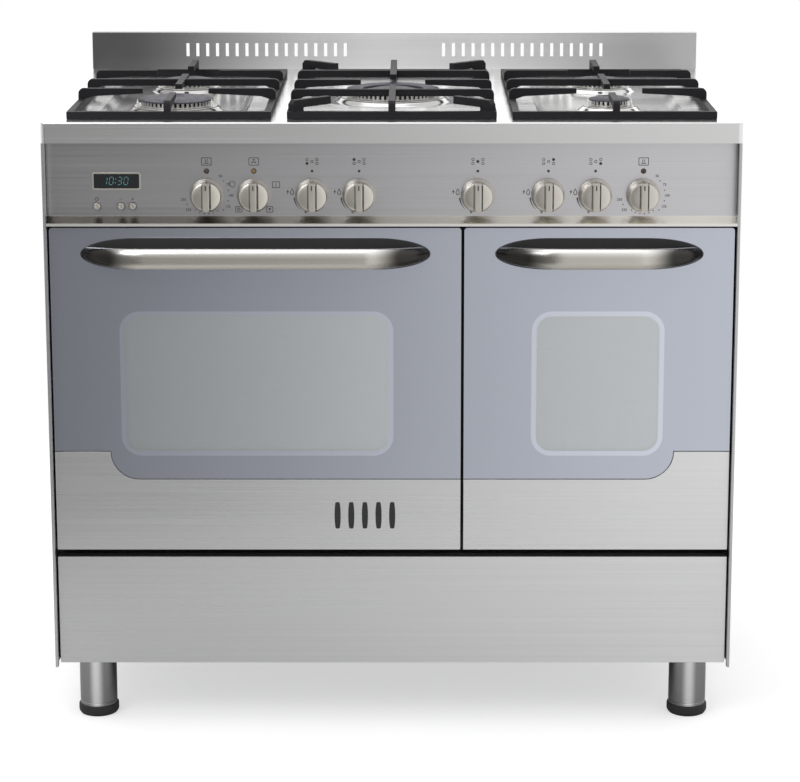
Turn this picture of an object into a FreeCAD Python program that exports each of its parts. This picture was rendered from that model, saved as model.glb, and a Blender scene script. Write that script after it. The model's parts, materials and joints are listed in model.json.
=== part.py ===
"""Range cooker, 900 mm wide, with a main oven, a second oven and a five-burner gas hob.

Lengths are in millimetres. X runs to the right, Y to the back and Z up. The origin is on the floor, in the
middle of the cooker's footprint, door handles included.
"""

import FreeCAD, Part
import math
import os
import re

import Sketcher

# Driving dimensions. Each is written once; everything else is worked out from them.
SIZES = {
    # overall
    "cooker_width": 900.0,
    "cooker_depth": 600.0,
    "hob_height": 815.0,
    "leg_height": 83.0,
    "sheet_metal": 1.5,
    "rest_gap": 0.3,
    "running_clearance": 0.05,
    # hob top and splashback
    "hob_skirt": 26.8,
    "hob_overhang": 0.5,
    "hob_edge_radius": 2.0,
    "splash_height": 54.5,
    "splash_depth": 15.0,
    "splash_hem": 10.0,
    "vent_count": 17,
    "vent_pitch": 14.66,
    "vent_width": 4.6,
    "vent_height": 19.5,
    "vent_rise": 19.4,
    "vent_group_x": 190.6,
    # burners, with depths counted from the hob's front edge
    "burner_side_x": 290.0,
    "burner_front_depth": 165.0,
    "burner_rear_depth": 372.0,
    "wok_depth": 262.0,
    "rapid_cap_radius": 49.5,
    "semi_cap_radius": 37.0,
    "small_cap_radius": 27.5,
    "wok_cap_radius": 64.0,
    "wok_ring_width": 22.0,
    "wok_core_radius": 33.0,
    "cup_flange_reach": 6.0,
    "cup_flange_thickness": 1.5,
    "cup_depth": 20.0,
    "cup_body_inset": 5.0,
    "spreader_inset": 3.0,
    "spreader_height": 7.0,
    "cap_thickness": 4.0,
    "cap_edge": 1.5,
    "electrode_radius": 1.5,
    "electrode_height": 10.0,
    # pan supports
    "support_top": 24.0,
    "support_outer_x": 420.0,
    "support_inner_x": 156.0,
    "support_centre_half": 135.5,
    "support_front": 32.0,
    "support_back": 505.0,
    "bar_width": 9.0,
    "frame_bar_height": 9.5,
    "finger_root": 10.5,
    "finger_tip": 7.0,
    "finger_gap": 44.0,
    "wok_finger_gap": 57.0,
    "cross_bar_spread": 107.0,
    "corner_finger_length": 68.0,
    "corner_post_width": 19.8,
    "corner_finger_shoulder": 5.0,
    "finger_shoulder": 6.5,
    # fascia
    "fascia_set_back": 22.0,
    "fascia_height": 98.0,
    "ledge_drop": 6.3,
    "lip_height": 3.7,
    "fascia_hem": 15.0,
    # knobs, with insets counted from the nearer side of the cooker
    "knob_drop": 97.5,
    "main_thermostat_inset": 210.6,
    "main_selector_inset": 271.7,
    "tap_front_left_inset": 346.9,
    "tap_rear_left_inset": 407.7,
    "tap_centre_inset": 338.9,
    "tap_rear_right_inset": 247.7,
    "tap_front_right_inset": 186.8,
    "side_thermostat_inset": 124.9,
    "knob_edge": 1.2,
    "knob_radius": 21.8,
    "knob_skirt": 3.0,
    "knob_face_radius": 19.0,
    "knob_dome": 17.0,
    "knob_length": 23.5,
    "knob_bar_width": 9.0,
    "knob_bar_length": 37.0,
    "knob_bore_depth": 14.0,
    "spindle_radius": 4.0,
    "spindle_end_gap": 1.0,
    # clock, buttons and lamps, with insets counted from the left side of the cooker
    "clock_inset": 93.9,
    "clock_drop": 79.2,
    "module_half": 45.0,
    "module_depth": 25.0,
    "module_lap": 12.0,
    "module_foot": 7.0,
    "clock_width": 59.4,
    "clock_height": 19.7,
    "clock_recess": 1.0,
    "lens_thickness": 2.0,
    "button_clock_inset": 68.3,
    "button_minus_inset": 99.4,
    "button_plus_inset": 114.5,
    "button_drop": 111.7,
    "button_radius": 4.75,
    "button_reach": 7.0,
    "button_travel": 2.0,
    "button_lip": 1.2,
    "button_collar": 1.5,
    "lamp_drop": 66.0,
    "lamp_radius": 3.5,
    "lamp_reach": 1.5,
    # side panels
    "side_fold": 3.5,
    "side_fold_depth": 10.0,
    "side_back_fold": 18.0,
    # oven doors
    "door_set_back": 12.0,
    "door_thickness": 30.0,
    "door_height": 433.0,
    "door_top_gap": 4.2,
    "door_side_gap": 2.0,
    "door_split": 3.9,
    "main_door_width": 534.0,
    "door_corner": 4.0,
    "seal_gap": 5.0,
    "seal_width": 11.0,
    "cover_thickness": 1.0,
    "glass_thickness": 4.0,
    "cover_height": 96.0,
    "cover_step": 38.0,
    "cover_shoulder": 73.0,
    "slot_count": 5,
    "slot_pitch": 18.05,
    "slot_width": 8.0,
    "slot_height": 36.5,
    "slot_inset": 126.3,
    "slot_rise": 47.0,
    "frame_inset": 2.5,
    "window_sill": 128.0,
    "window_height": 195.0,
    "main_window_width": 358.0,
    "side_window_width": 174.0,
    "window_radius": 27.0,
    "pane_lap": 12.0,
    # door handles
    "handle_margin": 40.0,
    "handle_drop": 34.0,
    "handle_projection": 44.0,
    "handle_height": 27.0,
    "handle_depth": 14.0,
    "handle_bend_radius": 96.0,
    "handle_foot_height": 19.0,
    "handle_foot_inset": 11.0,
    "handle_plate_height": 41.0,
    "handle_plate_end": 71.0,
    "handle_plate_thickness": 2.0,
    # hinges of the doors and the flap
    "hinge_set_back": 15.0,
    "hinge_rise": 12.0,
    "hinge_inset": 45.0,
    "hinge_arm_height": 8.4,
    "hinge_foot": 20.0,
    "hinge_arm_width": 8.0,
    "hinge_arm_radius": 5.5,
    "hinge_pin_radius": 3.0,
    "hinge_side_play": 1.5,
    "flap_gap": 10.0,
    "flap_clearance": 2.6,
    "flap_thickness": 18.0,
    "flap_hinge_back": 9.0,
    "flap_hinge_rise": 8.0,
    "store_side_lap": 15.0,
    "store_top_lap": 10.0,
    # ovens
    "main_oven_width": 430.0,
    "side_oven_width": 240.0,
    "oven_floor_rise": 50.0,
    "oven_height": 345.0,
    "oven_depth": 410.0,
    "oven_wall": 1.5,
    "insulation": 25.0,
    "fan_radius": 75.0,
    "fan_depth": 24.0,
    "fan_blade_count": 14,
    "fan_blade_start": 41.25,
    "fan_blade_tilt": 20,
    "fan_back_gap": 6.0,
    "fan_grid_reach": 4,
    "fan_hole_pitch": 15.0,
    "fan_hole_radius": 5.0,
    "shaft_nose": 2.0,
    "fan_shaft_radius": 4.0,
    "fan_cover_width": 340.0,
    "fan_cover_height": 270.0,
    "fan_cover_gap": 45.0,
    "motor_radius": 45.0,
    "motor_depth": 50.0,
    "ring_element_radius": 92.0,
    "element_radius": 3.5,
    "element_bend": 18.0,
    "element_front_gap": 60.0,
    "element_back_gap": 75.0,
    "element_side_gap": 35.0,
    "grill_gap": 22.0,
    "lamp_glass_radius": 18.0,
    "lamp_glass_drop": 14.0,
    "lamp_glass_inset": 50.0,
    # shelves
    "main_shelf_rung": 0,
    "side_shelf_rung": 1,
    "shelf_set_back": 30.0,
    "shelf_rod": 3.0,
    "shelf_wire": 1.5,
    "shelf_wire_pitch": 30.0,
    "shelf_depth": 325.0,
    "runner_rod": 2.5,
    "runner_count": 4,
    "runner_pitch": 62.0,
    "runner_start": 70.0,
    "runner_reach": 9.0,
    "runner_tail": 20.0,
    "runner_upright_inset": 8.0,
    # gas rail and controls behind the fascia
    "rail_radius": 8.0,
    "rail_depth": 62.0,
    "tap_body": 22.0,
    "tap_gap": 2.0,
    "switch_body": 38.0,
    "switch_depth": 32.0,
    "inlet_inset": 70.0,
    "inlet_radius": 10.5,
    "inlet_length": 32.0,
    "inlet_hole_radius": 25.0,
    # legs
    "leg_inset_x": 50.0,
    "leg_inset_y": 60.0,
    "leg_radius": 25.0,
    "leg_wall": 1.5,
    "pad_radius": 27.0,
    "pad_height": 14.0,
    "pad_chamfer": 4.0,
    "tray_wall": 30.0,
    # back
    "rear_vent_count": 12,
    "rear_vent_pitch": 24.0,
    "rear_vent_width": 6.0,
    "rear_vent_height": 60.0,
    "terminal_width": 90.0,
    "terminal_height": 60.0,
    "terminal_depth": 34.0,
    "screw_count": 4,
    "screw_radius": 2.0,
    "screw_head_radius": 4.0,
    "screw_head": 2.2,
    "screw_length": 9.0,
    "screw_end_margin": 50.0,
}

# Places that follow from the driving dimensions, in the same frame as the cooker.
LAYOUT = {
    # front to back
    "handle_reach": "handle_projection - door_set_back",
    "hob_front": "(handle_reach - cooker_depth) / 2",
    "cooker_back": "hob_front + cooker_depth",
    "splash_face": "cooker_back - splash_depth",
    "rear_outer": "cooker_back - screw_head - rest_gap",
    "rear_face": "rear_outer - sheet_metal",
    "inner_back": "rear_face - sheet_metal",
    "fascia_face": "hob_front + fascia_set_back",
    "fascia_back": "fascia_face + sheet_metal",
    "door_face": "hob_front + door_set_back",
    "glass_face": "door_face + cover_thickness",
    "glass_back": "glass_face + glass_thickness",
    "door_back": "door_face + door_thickness",
    "frame_face": "door_back + seal_gap",
    "frame_back": "frame_face + sheet_metal",
    "oven_back": "frame_face + oven_depth",
    "hinge_y": "door_face + hinge_set_back",
    "flap_hinge_y": "door_face + flap_hinge_back",
    "flap_back": "door_face + flap_thickness",
    "tray_front": "flap_hinge_y + sqrt(flap_hinge_back ^ 2 + flap_hinge_rise ^ 2) + sheet_metal",
    # side to side
    "hob_side": "cooker_width / 2",
    "side_out": "hob_side - hob_overhang",
    "side_in": "side_out - sheet_metal",
    "fold_in": "side_out - side_fold",
    "door_side": "fold_in - door_side_gap",
    "main_door_right": "main_door_width - door_side",
    "side_door_left": "main_door_right + door_split",
    "main_oven_x": "(main_door_right - door_side) / 2",
    "side_oven_x": "(side_door_left + door_side) / 2",
    "clock_x": "clock_inset - hob_side",
    "button_clock_x": "button_clock_inset - hob_side",
    "button_minus_x": "button_minus_inset - hob_side",
    "button_plus_x": "button_plus_inset - hob_side",
    "main_thermostat_x": "main_thermostat_inset - hob_side",
    "main_selector_x": "main_selector_inset - hob_side",
    "tap_front_left_x": "tap_front_left_inset - hob_side",
    "tap_rear_left_x": "tap_rear_left_inset - hob_side",
    "tap_centre_x": "hob_side - tap_centre_inset",
    "tap_rear_right_x": "hob_side - tap_rear_right_inset",
    "tap_front_right_x": "hob_side - tap_front_right_inset",
    "side_thermostat_x": "hob_side - side_thermostat_inset",
    "inlet_x": "hob_side - inlet_inset",
    # heights
    "hob_under": "hob_height - hob_skirt",
    "ledge_top": "hob_under - fascia_height",
    "lip_top": "ledge_top - ledge_drop",
    "lip_bottom": "lip_top - lip_height",
    "door_top": "lip_bottom - door_top_gap",
    "door_bottom": "door_top - door_height",
    "flap_top": "door_bottom - flap_gap",
    "flap_bottom": "leg_height + flap_clearance",
    "hinge_z": "door_bottom + hinge_rise",
    "flap_hinge_z": "flap_bottom + flap_hinge_rise",
    "tray_top": "leg_height + sheet_metal",
    "oven_floor": "door_bottom + oven_floor_rise",
    "oven_top": "oven_floor + oven_height",
    "knob_z": "hob_height - knob_drop",
    "cap_base": "hob_height + cup_flange_thickness + spreader_height",
    "finger_top": "hob_height + support_top",
    "frame_bar_top": "hob_height + rest_gap + frame_bar_height",
    "fan_z": "(oven_floor + oven_top) / 2",
    "handle_z": "door_top - handle_drop",
}

doc = FreeCAD.newDocument("RangeCooker")
PIECES = {}


def bound(text):
    """Turn the plain names in a formula into references to the two sheets."""
    def reference(match):
        word = match.group(0)
        if word in SIZES:
            return "Sizes." + word
        if word in LAYOUT:
            return "Layout." + word
        return word
    return re.sub(r"[a-z][a-z_]+", reference, text)


def make_sheets():
    """Write the driving dimensions and the layout formulas into their sheets."""
    sizes = doc.addObject("Spreadsheet::Sheet", "Sizes")
    for row, (alias, value) in enumerate(SIZES.items(), start=1):
        sizes.set(f"A{row}", alias)
        sizes.set(f"B{row}", str(value))
        sizes.setAlias(f"B{row}", alias)
    layout = doc.addObject("Spreadsheet::Sheet", "Layout")
    for row, (alias, formula) in enumerate(LAYOUT.items(), start=1):
        layout.set(f"A{row}", alias)
        layout.set(f"B{row}", "=" + bound(formula))
        layout.setAlias(f"B{row}", alias)
    doc.recompute()
    return sizes, layout


SHEET, PLACES = make_sheets()


def at(name):
    """Value of a driving dimension or of a layout place."""
    return float((SHEET if name in SIZES else PLACES).get(name))


def count(name):
    """Value of a driving count."""
    return int(round(at(name)))


# Plain solids, each bound to the sheets

def box(name, across, along, up):
    """Box between pairs of places: across X, along Y and up Z."""
    solid = doc.addObject("Part::Box", name)
    for side, axis, (low, high) in zip(("Length", "Width", "Height"), "xyz", (across, along, up)):
        solid.setExpression(side, bound(f"({high}) - ({low})"))
        solid.setExpression(f"Placement.Base.{axis}", bound(low))
    return solid


TURNS = {
    "x": FreeCAD.Rotation(FreeCAD.Vector(0, 1, 0), 90),
    "y": FreeCAD.Rotation(FreeCAD.Vector(1, 0, 0), -90),
    "z": FreeCAD.Rotation(),
}


def cylinder(name, axis, start, length, radius):
    """Cylinder that starts at a place and runs along +X, +Y or +Z."""
    solid = doc.addObject("Part::Cylinder", name)
    solid.Placement = FreeCAD.Placement(FreeCAD.Vector(), TURNS[axis])
    for part, place in zip("xyz", start):
        solid.setExpression(f"Placement.Base.{part}", bound(place))
    solid.setExpression("Radius", bound(radius))
    solid.setExpression("Height", bound(length))
    return solid


def fuse(name, solids):
    """One solid from several that touch or cross."""
    joined = doc.addObject("Part::MultiFuse", name)
    joined.Shapes = solids
    joined.Refine = True
    return joined


def cut(name, base, tools):
    """Base with one or more tools taken away."""
    tool = tools[0]
    if len(tools) > 1:
        tool = doc.addObject("Part::Compound", name + "Tools")
        tool.Links = tools
    left = doc.addObject("Part::Cut", name)
    left.Base = base
    left.Tool = tool
    return left


def group(name, solids):
    """Several separate solids that share one node."""
    together = doc.addObject("Part::Compound", name)
    together.Links = solids
    return together


def piece(label, solid):
    """Name a finished sub-part, which names its file."""
    solid.Label = label
    PIECES[label] = solid
    return solid


def rounded_slab(name, across, along, up, radius):
    """Upright slab, thin along Y, whose four corners in X and Z are rounded."""
    (left, right), (near, far), (low, high) = across, along, up
    parts = [
        box(name + "Wide", across, along, (f"{low} + {radius}", f"{high} - {radius}")),
        box(name + "Tall", (f"{left} + {radius}", f"{right} - {radius}"), along, up),
    ]
    for number, (x, z) in enumerate([
            (f"{left} + {radius}", f"{low} + {radius}"),
            (f"{right} - ({radius})", f"{low} + {radius}"),
            (f"{right} - ({radius})", f"{high} - ({radius})"),
            (f"{left} + {radius}", f"{high} - ({radius})")]):
        corner = cylinder(f"{name}Corner{number}", "y", (x, near, z), f"({far}) - ({near})", radius)
        parts.append(corner)
    return fuse(name, parts)


# Sketched bodies

def origin_plane(body, role):
    """One of the body's own origin planes."""
    return next(item for item in body.Origin.OriginFeatures if item.Role == role)


def polygon(body, name, role, offset, profiles):
    """Sketch of closed polygons whose corners are bound to the sheets.

    On XY_Plane a corner is (x, y), on XZ_Plane (x, z) and on YZ_Plane (y, z); offset is the place of the
    sketch along the third axis.
    """
    sketch = body.newObject("Sketcher::SketchObject", name)
    sketch.AttachmentSupport = [(origin_plane(body, role), "")]
    sketch.MapMode = "FlatFace"
    away = f"-({offset})" if role == "XZ_Plane" else offset
    sketch.setExpression("AttachmentOffset.Base.z", bound(away))
    for corners in profiles:
        first = sketch.GeometryCount
        total = len(corners)
        for number in range(total):
            here = 2 * math.pi * number / total
            there = 2 * math.pi * (number + 1) / total
            start = FreeCAD.Vector(math.cos(here), math.sin(here), 0)
            end = FreeCAD.Vector(math.cos(there), math.sin(there), 0)
            sketch.addGeometry(Part.LineSegment(start, end), False)
        for number in range(total):
            line, following = first + number, first + (number + 1) % total
            sketch.addConstraint(Sketcher.Constraint("Coincident", line, 2, following, 1))
        for number, corner in enumerate(corners):
            for kind, place in zip(("DistanceX", "DistanceY"), corner):
                index = sketch.addConstraint(Sketcher.Constraint(kind, -1, 1, first + number, 1, 1.0))
                sketch.setExpression(f"Constraints[{index}]", bound(place))
    return sketch


def rectangle(across, along):
    """Corners of a rectangle between two pairs of places."""
    (left, right), (low, high) = across, along
    return [(left, low), (right, low), (right, high), (left, high)]


def pad(body, sketch, length, towards_back=False):
    """Pad a sketch; an XZ sketch is padded towards the back."""
    feature = body.newObject("PartDesign::Pad", sketch.Name + "Pad")
    feature.Profile = sketch
    feature.setExpression("Length", bound(length))
    feature.Reversed = towards_back
    return feature


def turned(name, role, axis, offset, corners):
    """Body turned from a half profile about one axis of its sketch."""
    body = doc.addObject("PartDesign::Body", name)
    sketch = polygon(body, name + "Profile", role, offset, [corners])
    feature = body.newObject("PartDesign::Revolution", name + "Turned")
    feature.Profile = sketch
    feature.ReferenceAxis = (sketch, [axis])
    feature.Angle = 360
    return body


def profile_along_x(name, corners, half_length):
    """Body with one profile in Y and Z, padded from -half_length to +half_length."""
    body = doc.addObject("PartDesign::Body", name)
    sketch = polygon(body, name + "Profile", "YZ_Plane", f"-({half_length})", [corners])
    pad(body, sketch, f"2 * ({half_length})")
    return body


def turned_upright(name, x, y, corners):
    """Solid turned about an upright axis at (x, y) from a half profile of (radius, z) corners."""
    body = turned(name, "XZ_Plane", "V_Axis", "0", corners)
    body.setExpression("Placement.Base.x", bound(x))
    body.setExpression("Placement.Base.y", bound(y))
    return body


def turned_level(name, x, z, corners):
    """Solid turned about a level axis along Y at (x, z) from a half profile of (y, radius) corners."""
    body = turned(name, "YZ_Plane", "H_Axis", "0", corners)
    body.setExpression("Placement.Base.x", bound(x))
    body.setExpression("Placement.Base.z", bound(z))
    return body


def bent_rod(name, points, radius, bend):
    """Round rod along straight runs joined by tangent arcs, from real places."""
    runs = []
    start = points[0]
    for before, corner, after in zip(points, points[1:], points[2:]):
        back = (before - corner).normalize()
        ahead = (after - corner).normalize()
        half = back.getAngle(ahead) / 2
        reach = bend / math.tan(half)
        entry = corner + back * reach
        leave = corner + ahead * reach
        middle_way = (back + ahead).normalize()
        middle = corner + middle_way * (bend / math.sin(half) - bend)
        runs.append(Part.LineSegment(start, entry).toShape())
        runs.append(Part.Arc(entry, middle, leave).toShape())
        start = leave
    runs.append(Part.LineSegment(start, points[-1]).toShape())
    path = Part.Wire(runs)
    way = (points[1] - points[0]).normalize()
    section = Part.Wire(Part.makeCircle(radius, points[0], way))
    rod = doc.addObject("Part::Feature", name)
    rod.Shape = path.makePipeShell([section], True, False)
    return rod


SIDES = {"left": -1, "right": 1}


def sided(sign, inner, outer):
    """Pair of places across X for one side, from the right-hand side's pair."""
    return (inner, outer) if sign > 0 else (f"-({outer})", f"-({inner})")


# Body shell

def screw_place(sign, number):
    """X and Z of one of the screws that hold the rear panel to a side panel."""
    x = f"{sign} * (side_out - side_back_fold / 2 - sheet_metal)"
    span = "(hob_under - leg_height - 2 * screw_end_margin)"
    return x, f"leg_height + screw_end_margin + {number} * {span} / (screw_count - 1)"


def screw_hole(name, sign, number):
    """Drill for one screw through the rear panel and a side panel's flange."""
    x, z = screw_place(sign, number)
    return cylinder(name, "y", (x, "inner_back - screw_length", z), "2 * screw_length", "screw_radius")


def make_side_panel(side):
    """Outer side sheet with a narrow fold at the front and a flange at the back."""
    sign = SIDES[side]
    name = "SidePanel" + side.capitalize()
    height = ("leg_height", "hob_under")
    parts = [
        box(name + "Skin", sided(sign, "side_in", "side_out"), ("hob_front", "cooker_back"), height),
        box(name + "Edge", sided(sign, "fold_in", "side_out"),
            ("hob_front", "hob_front + sheet_metal"), height),
        box(name + "Return", sided(sign, "fold_in", "fold_in + sheet_metal"),
            ("hob_front", "hob_front + side_fold_depth"), height),
        box(name + "Flange", sided(sign, "side_out - side_back_fold", "side_out"),
            ("inner_back", "rear_face"), height),
    ]
    holes = [screw_hole(f"{name}Hole{number}", sign, number) for number in range(count("screw_count"))]
    piece("side_panel_" + side, cut(name, fuse(name + "Folded", parts), holes))


def make_rear_panel():
    """Back sheet with upright cooling slots and holes for the gas inlet and the terminal box."""
    plate = box("RearSheet", ("-side_in", "side_in"), ("rear_face", "rear_outer"),
                ("leg_height", "hob_under"))
    through = ("rear_face - 1", "rear_outer + 1")
    tools = []
    for number in range(count("rear_vent_count")):
        left = f"({number} - (rear_vent_count - 1) / 2) * rear_vent_pitch - rear_vent_width / 2"
        tools.append(box(f"RearVent{number}", (left, f"{left} + rear_vent_width"), through,
                         ("ledge_top - rear_vent_height", "ledge_top")))
    tools.append(cylinder("InletHole", "y", ("inlet_x", through[0], "knob_z"), "sheet_metal + 2",
                          "inlet_hole_radius"))
    for side, sign in SIDES.items():
        for number in range(count("screw_count")):
            tools.append(screw_hole(f"RearHole{side}{number}", sign, number))
    piece("rear_panel", cut("RearPanel", plate, tools))


def make_base_tray():
    """Bottom sheet, which is also the floor of the storage compartment."""
    along = ("tray_front", "inner_back")
    wall = ("leg_height", "leg_height + tray_wall")
    parts = [
        box("TrayFloor", ("-side_in", "side_in"), along, ("leg_height", "tray_top")),
        box("TrayBack", ("-side_in", "side_in"), ("inner_back - sheet_metal", "inner_back"), wall),
    ]
    for side, sign in SIDES.items():
        parts.append(box("TraySide" + side, sided(sign, "side_in - sheet_metal", "side_in"),
                         ("frame_back", "inner_back"), wall))
    piece("base_tray", fuse("BaseTray", parts))


def oven_slab(name, centre, width, along, grow):
    """Rounded slab in the shape of an oven's mouth, grown outwards all round."""
    half = f"{width} / 2 + {grow}"
    return rounded_slab(name, (f"{centre} - ({half})", f"{centre} + {half}"), along,
                        (f"oven_floor - ({grow})", f"oven_top + {grow}"), f"({grow} + 2 * window_radius / 3)")


OVENS = {"main": ("main_oven_x", "main_oven_width"), "side": ("side_oven_x", "side_oven_width")}


def make_front_frame():
    """Front plate with the two oven mouths and the compartment's mouth, and the heat shield behind it."""
    plate = box("FrameSheet", ("-side_in", "side_in"), ("frame_face", "frame_back"),
                ("tray_top", "ledge_top"))
    through = ("frame_face - 1", "frame_back + 1")
    tools = [oven_slab(oven + "Mouth", centre, width, through, "oven_wall")
             for oven, (centre, width) in OVENS.items()]
    tools.append(box("StoreMouth", ("store_side_lap - door_side", "door_side - store_side_lap"), through,
                     ("leg_height", "flap_top - store_top_lap")))
    shield = box("HeatShield", ("-side_in", "side_in"), ("frame_face", "inner_back"),
                 ("flap_top", "flap_top + sheet_metal"))
    piece("front_frame", fuse("FrontFrame", [cut("FrontPlate", plate, tools), shield]))


BURNERS = {
    "FrontLeft": ("-burner_side_x", "hob_front + burner_front_depth", "rapid_cap_radius"),
    "RearLeft": ("-burner_side_x", "hob_front + burner_rear_depth", "semi_cap_radius"),
    "Centre": ("0", "hob_front + wok_depth", "wok_cap_radius"),
    "RearRight": ("burner_side_x", "hob_front + burner_rear_depth", "semi_cap_radius"),
    "FrontRight": ("burner_side_x", "hob_front + burner_front_depth", "small_cap_radius"),
}


def make_hob_top():
    """Hob sheet with a folded skirt and one hole for each burner cup."""
    block = box("HobBlock", ("-hob_side", "hob_side"), ("hob_front", "cooker_back"),
                ("hob_under", "hob_height"))
    doc.recompute()
    edges = doc.addObject("Part::Fillet", "HobEdges")
    edges.Base = block
    radius = at("hob_edge_radius")
    top = at("hob_height")
    edges.Edges = [(number, radius, radius) for number, edge in enumerate(block.Shape.Edges, start=1)
                   if all(abs(vertex.Z - top) < 1e-6 for vertex in edge.Vertexes)]
    block.Visibility = False
    tools = [box("HobHollow", ("sheet_metal - hob_side", "hob_side - sheet_metal"),
                 ("hob_front + sheet_metal", "cooker_back - sheet_metal"),
                 ("hob_under - 1", "hob_height - sheet_metal"))]
    for name, (x, y, radius_name) in BURNERS.items():
        tools.append(cylinder("HobHole" + name, "z", (x, y, "hob_under"), "2 * hob_skirt",
                              f"{radius_name} - cup_body_inset + running_clearance"))
    piece("hob_top", cut("HobTop", edges, tools))


def make_splashback():
    """Folded upstand along the back edge with two rows of upright slots."""
    top = "hob_height + splash_height"
    corners = [
        ("splash_face", "hob_height"),
        ("cooker_back", "hob_height"),
        ("cooker_back", "hob_height + sheet_metal"),
        ("splash_face + sheet_metal", "hob_height + sheet_metal"),
        ("splash_face + sheet_metal", f"{top} - sheet_metal"),
        ("cooker_back - sheet_metal", f"{top} - sheet_metal"),
        ("cooker_back - sheet_metal", f"{top} - splash_hem"),
        ("cooker_back", f"{top} - splash_hem"),
        ("cooker_back", top),
        ("splash_face", top),
    ]
    body = profile_along_x("Splashback", corners, "hob_side")
    for side, sign in SIDES.items():
        centre = f"{sign} * vent_group_x"
        left = f"{centre} - (vent_count - 1) / 2 * vent_pitch - vent_width / 2"
        slot = rectangle((left, f"{left} + vent_width"),
                         ("hob_height + vent_rise", "hob_height + vent_rise + vent_height"))
        sketch = polygon(body, "Vent" + side, "XZ_Plane", "splash_face", [slot])
        pocket = body.newObject("PartDesign::Pocket", "VentPocket" + side)
        pocket.Profile = sketch
        pocket.setExpression("Length", bound("2 * sheet_metal"))
        pocket.Reversed = False
        row = body.newObject("PartDesign::LinearPattern", "VentRow" + side)
        row.Originals = [pocket]
        row.Direction = (sketch, ["H_Axis"])
        row.setExpression("Length", bound("vent_pitch * (vent_count - 1)"))
        row.setExpression("Occurrences", bound("vent_count"))
        body.Tip = row
    piece("splashback", body)


def make_fascia():
    """Control panel: upright face, sloping ledge, front lip and a flange back to the front frame."""
    corners = [
        ("fascia_face + fascia_hem", "hob_under"),
        ("fascia_face", "hob_under"),
        ("fascia_face", "ledge_top"),
        ("hob_front", "lip_top"),
        ("hob_front", "lip_bottom"),
        ("frame_face", "lip_bottom"),
        ("frame_face", "lip_bottom + sheet_metal"),
        ("hob_front + sheet_metal", "lip_bottom + sheet_metal"),
        ("hob_front + sheet_metal", "lip_top - sheet_metal / 2"),
        ("fascia_back", "ledge_top - sheet_metal / 2"),
        ("fascia_back", "hob_under - sheet_metal"),
        ("fascia_face + fascia_hem", "hob_under - sheet_metal"),
    ]
    sheet = profile_along_x("FasciaSheet", corners, "side_in")
    through = ("fascia_face - 1", "fascia_back + 1")
    reach = "sheet_metal + 2"
    tools = []
    for side, sign in SIDES.items():
        tools.append(box("FoldNotch" + side, sided(sign, "fold_in - rest_gap", "side_out"),
                         ("hob_front - 1", "hob_front + side_fold_depth + rest_gap"),
                         ("lip_bottom - 1", "ledge_top")))
    for name, (x, turn) in KNOBS.items():
        tools.append(cylinder("SpindleHole" + name, "y", (x, through[0], "knob_z"), reach,
                              "spindle_radius + 1"))
    for name, x in BUTTONS.items():
        tools.append(cylinder("ButtonHole" + name, "y", (x, through[0], "hob_height - button_drop"), reach,
                              "button_radius + 5 * running_clearance"))
    for name in LAMPS:
        tools.append(cylinder("LampHole" + name, "y", (KNOBS[name][0], through[0], "hob_height - lamp_drop"),
                              reach, "lamp_radius"))
    tools.append(box("ClockHole", ("clock_x - clock_width / 2", "clock_x + clock_width / 2"), through,
                     ("hob_height - clock_drop - clock_height / 2",
                      "hob_height - clock_drop + clock_height / 2")))
    piece("fascia_panel", cut("FasciaPanel", sheet, tools))


# Ovens

def make_oven(oven):
    """Enamelled cavity, open at the front, and the insulation blanket round it."""
    centre, width = OVENS[oven]
    shell = oven_slab(oven + "Shell", centre, width, ("frame_face", "oven_back + oven_wall"), "oven_wall")
    hollow = oven_slab(oven + "Hollow", centre, width, ("frame_face - 1", "oven_back"), "0")
    tools = [hollow]
    if oven == "main":
        tools.append(cylinder("ShaftHole", "y", (centre, "oven_back - 1", "fan_z"), "oven_wall + 2",
                              "fan_shaft_radius + 1"))
    piece(oven + "_oven_cavity", cut(oven + "Cavity", shell, tools))
    outer = oven_slab(oven + "Outer", centre, width, ("frame_back", "oven_back + oven_wall + insulation"),
                      "oven_wall + insulation")
    inner = oven_slab(oven + "Inner", centre, width, ("frame_back - 1", "oven_back + oven_wall"),
                      "oven_wall")
    tools = [inner]
    if oven == "main":
        tools.append(cylinder("MotorHole", "y", (centre, "oven_back", "fan_z"), "2 * insulation",
                              "motor_radius + rest_gap"))
    return cut(oven + "Blanket", outer, tools)


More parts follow.
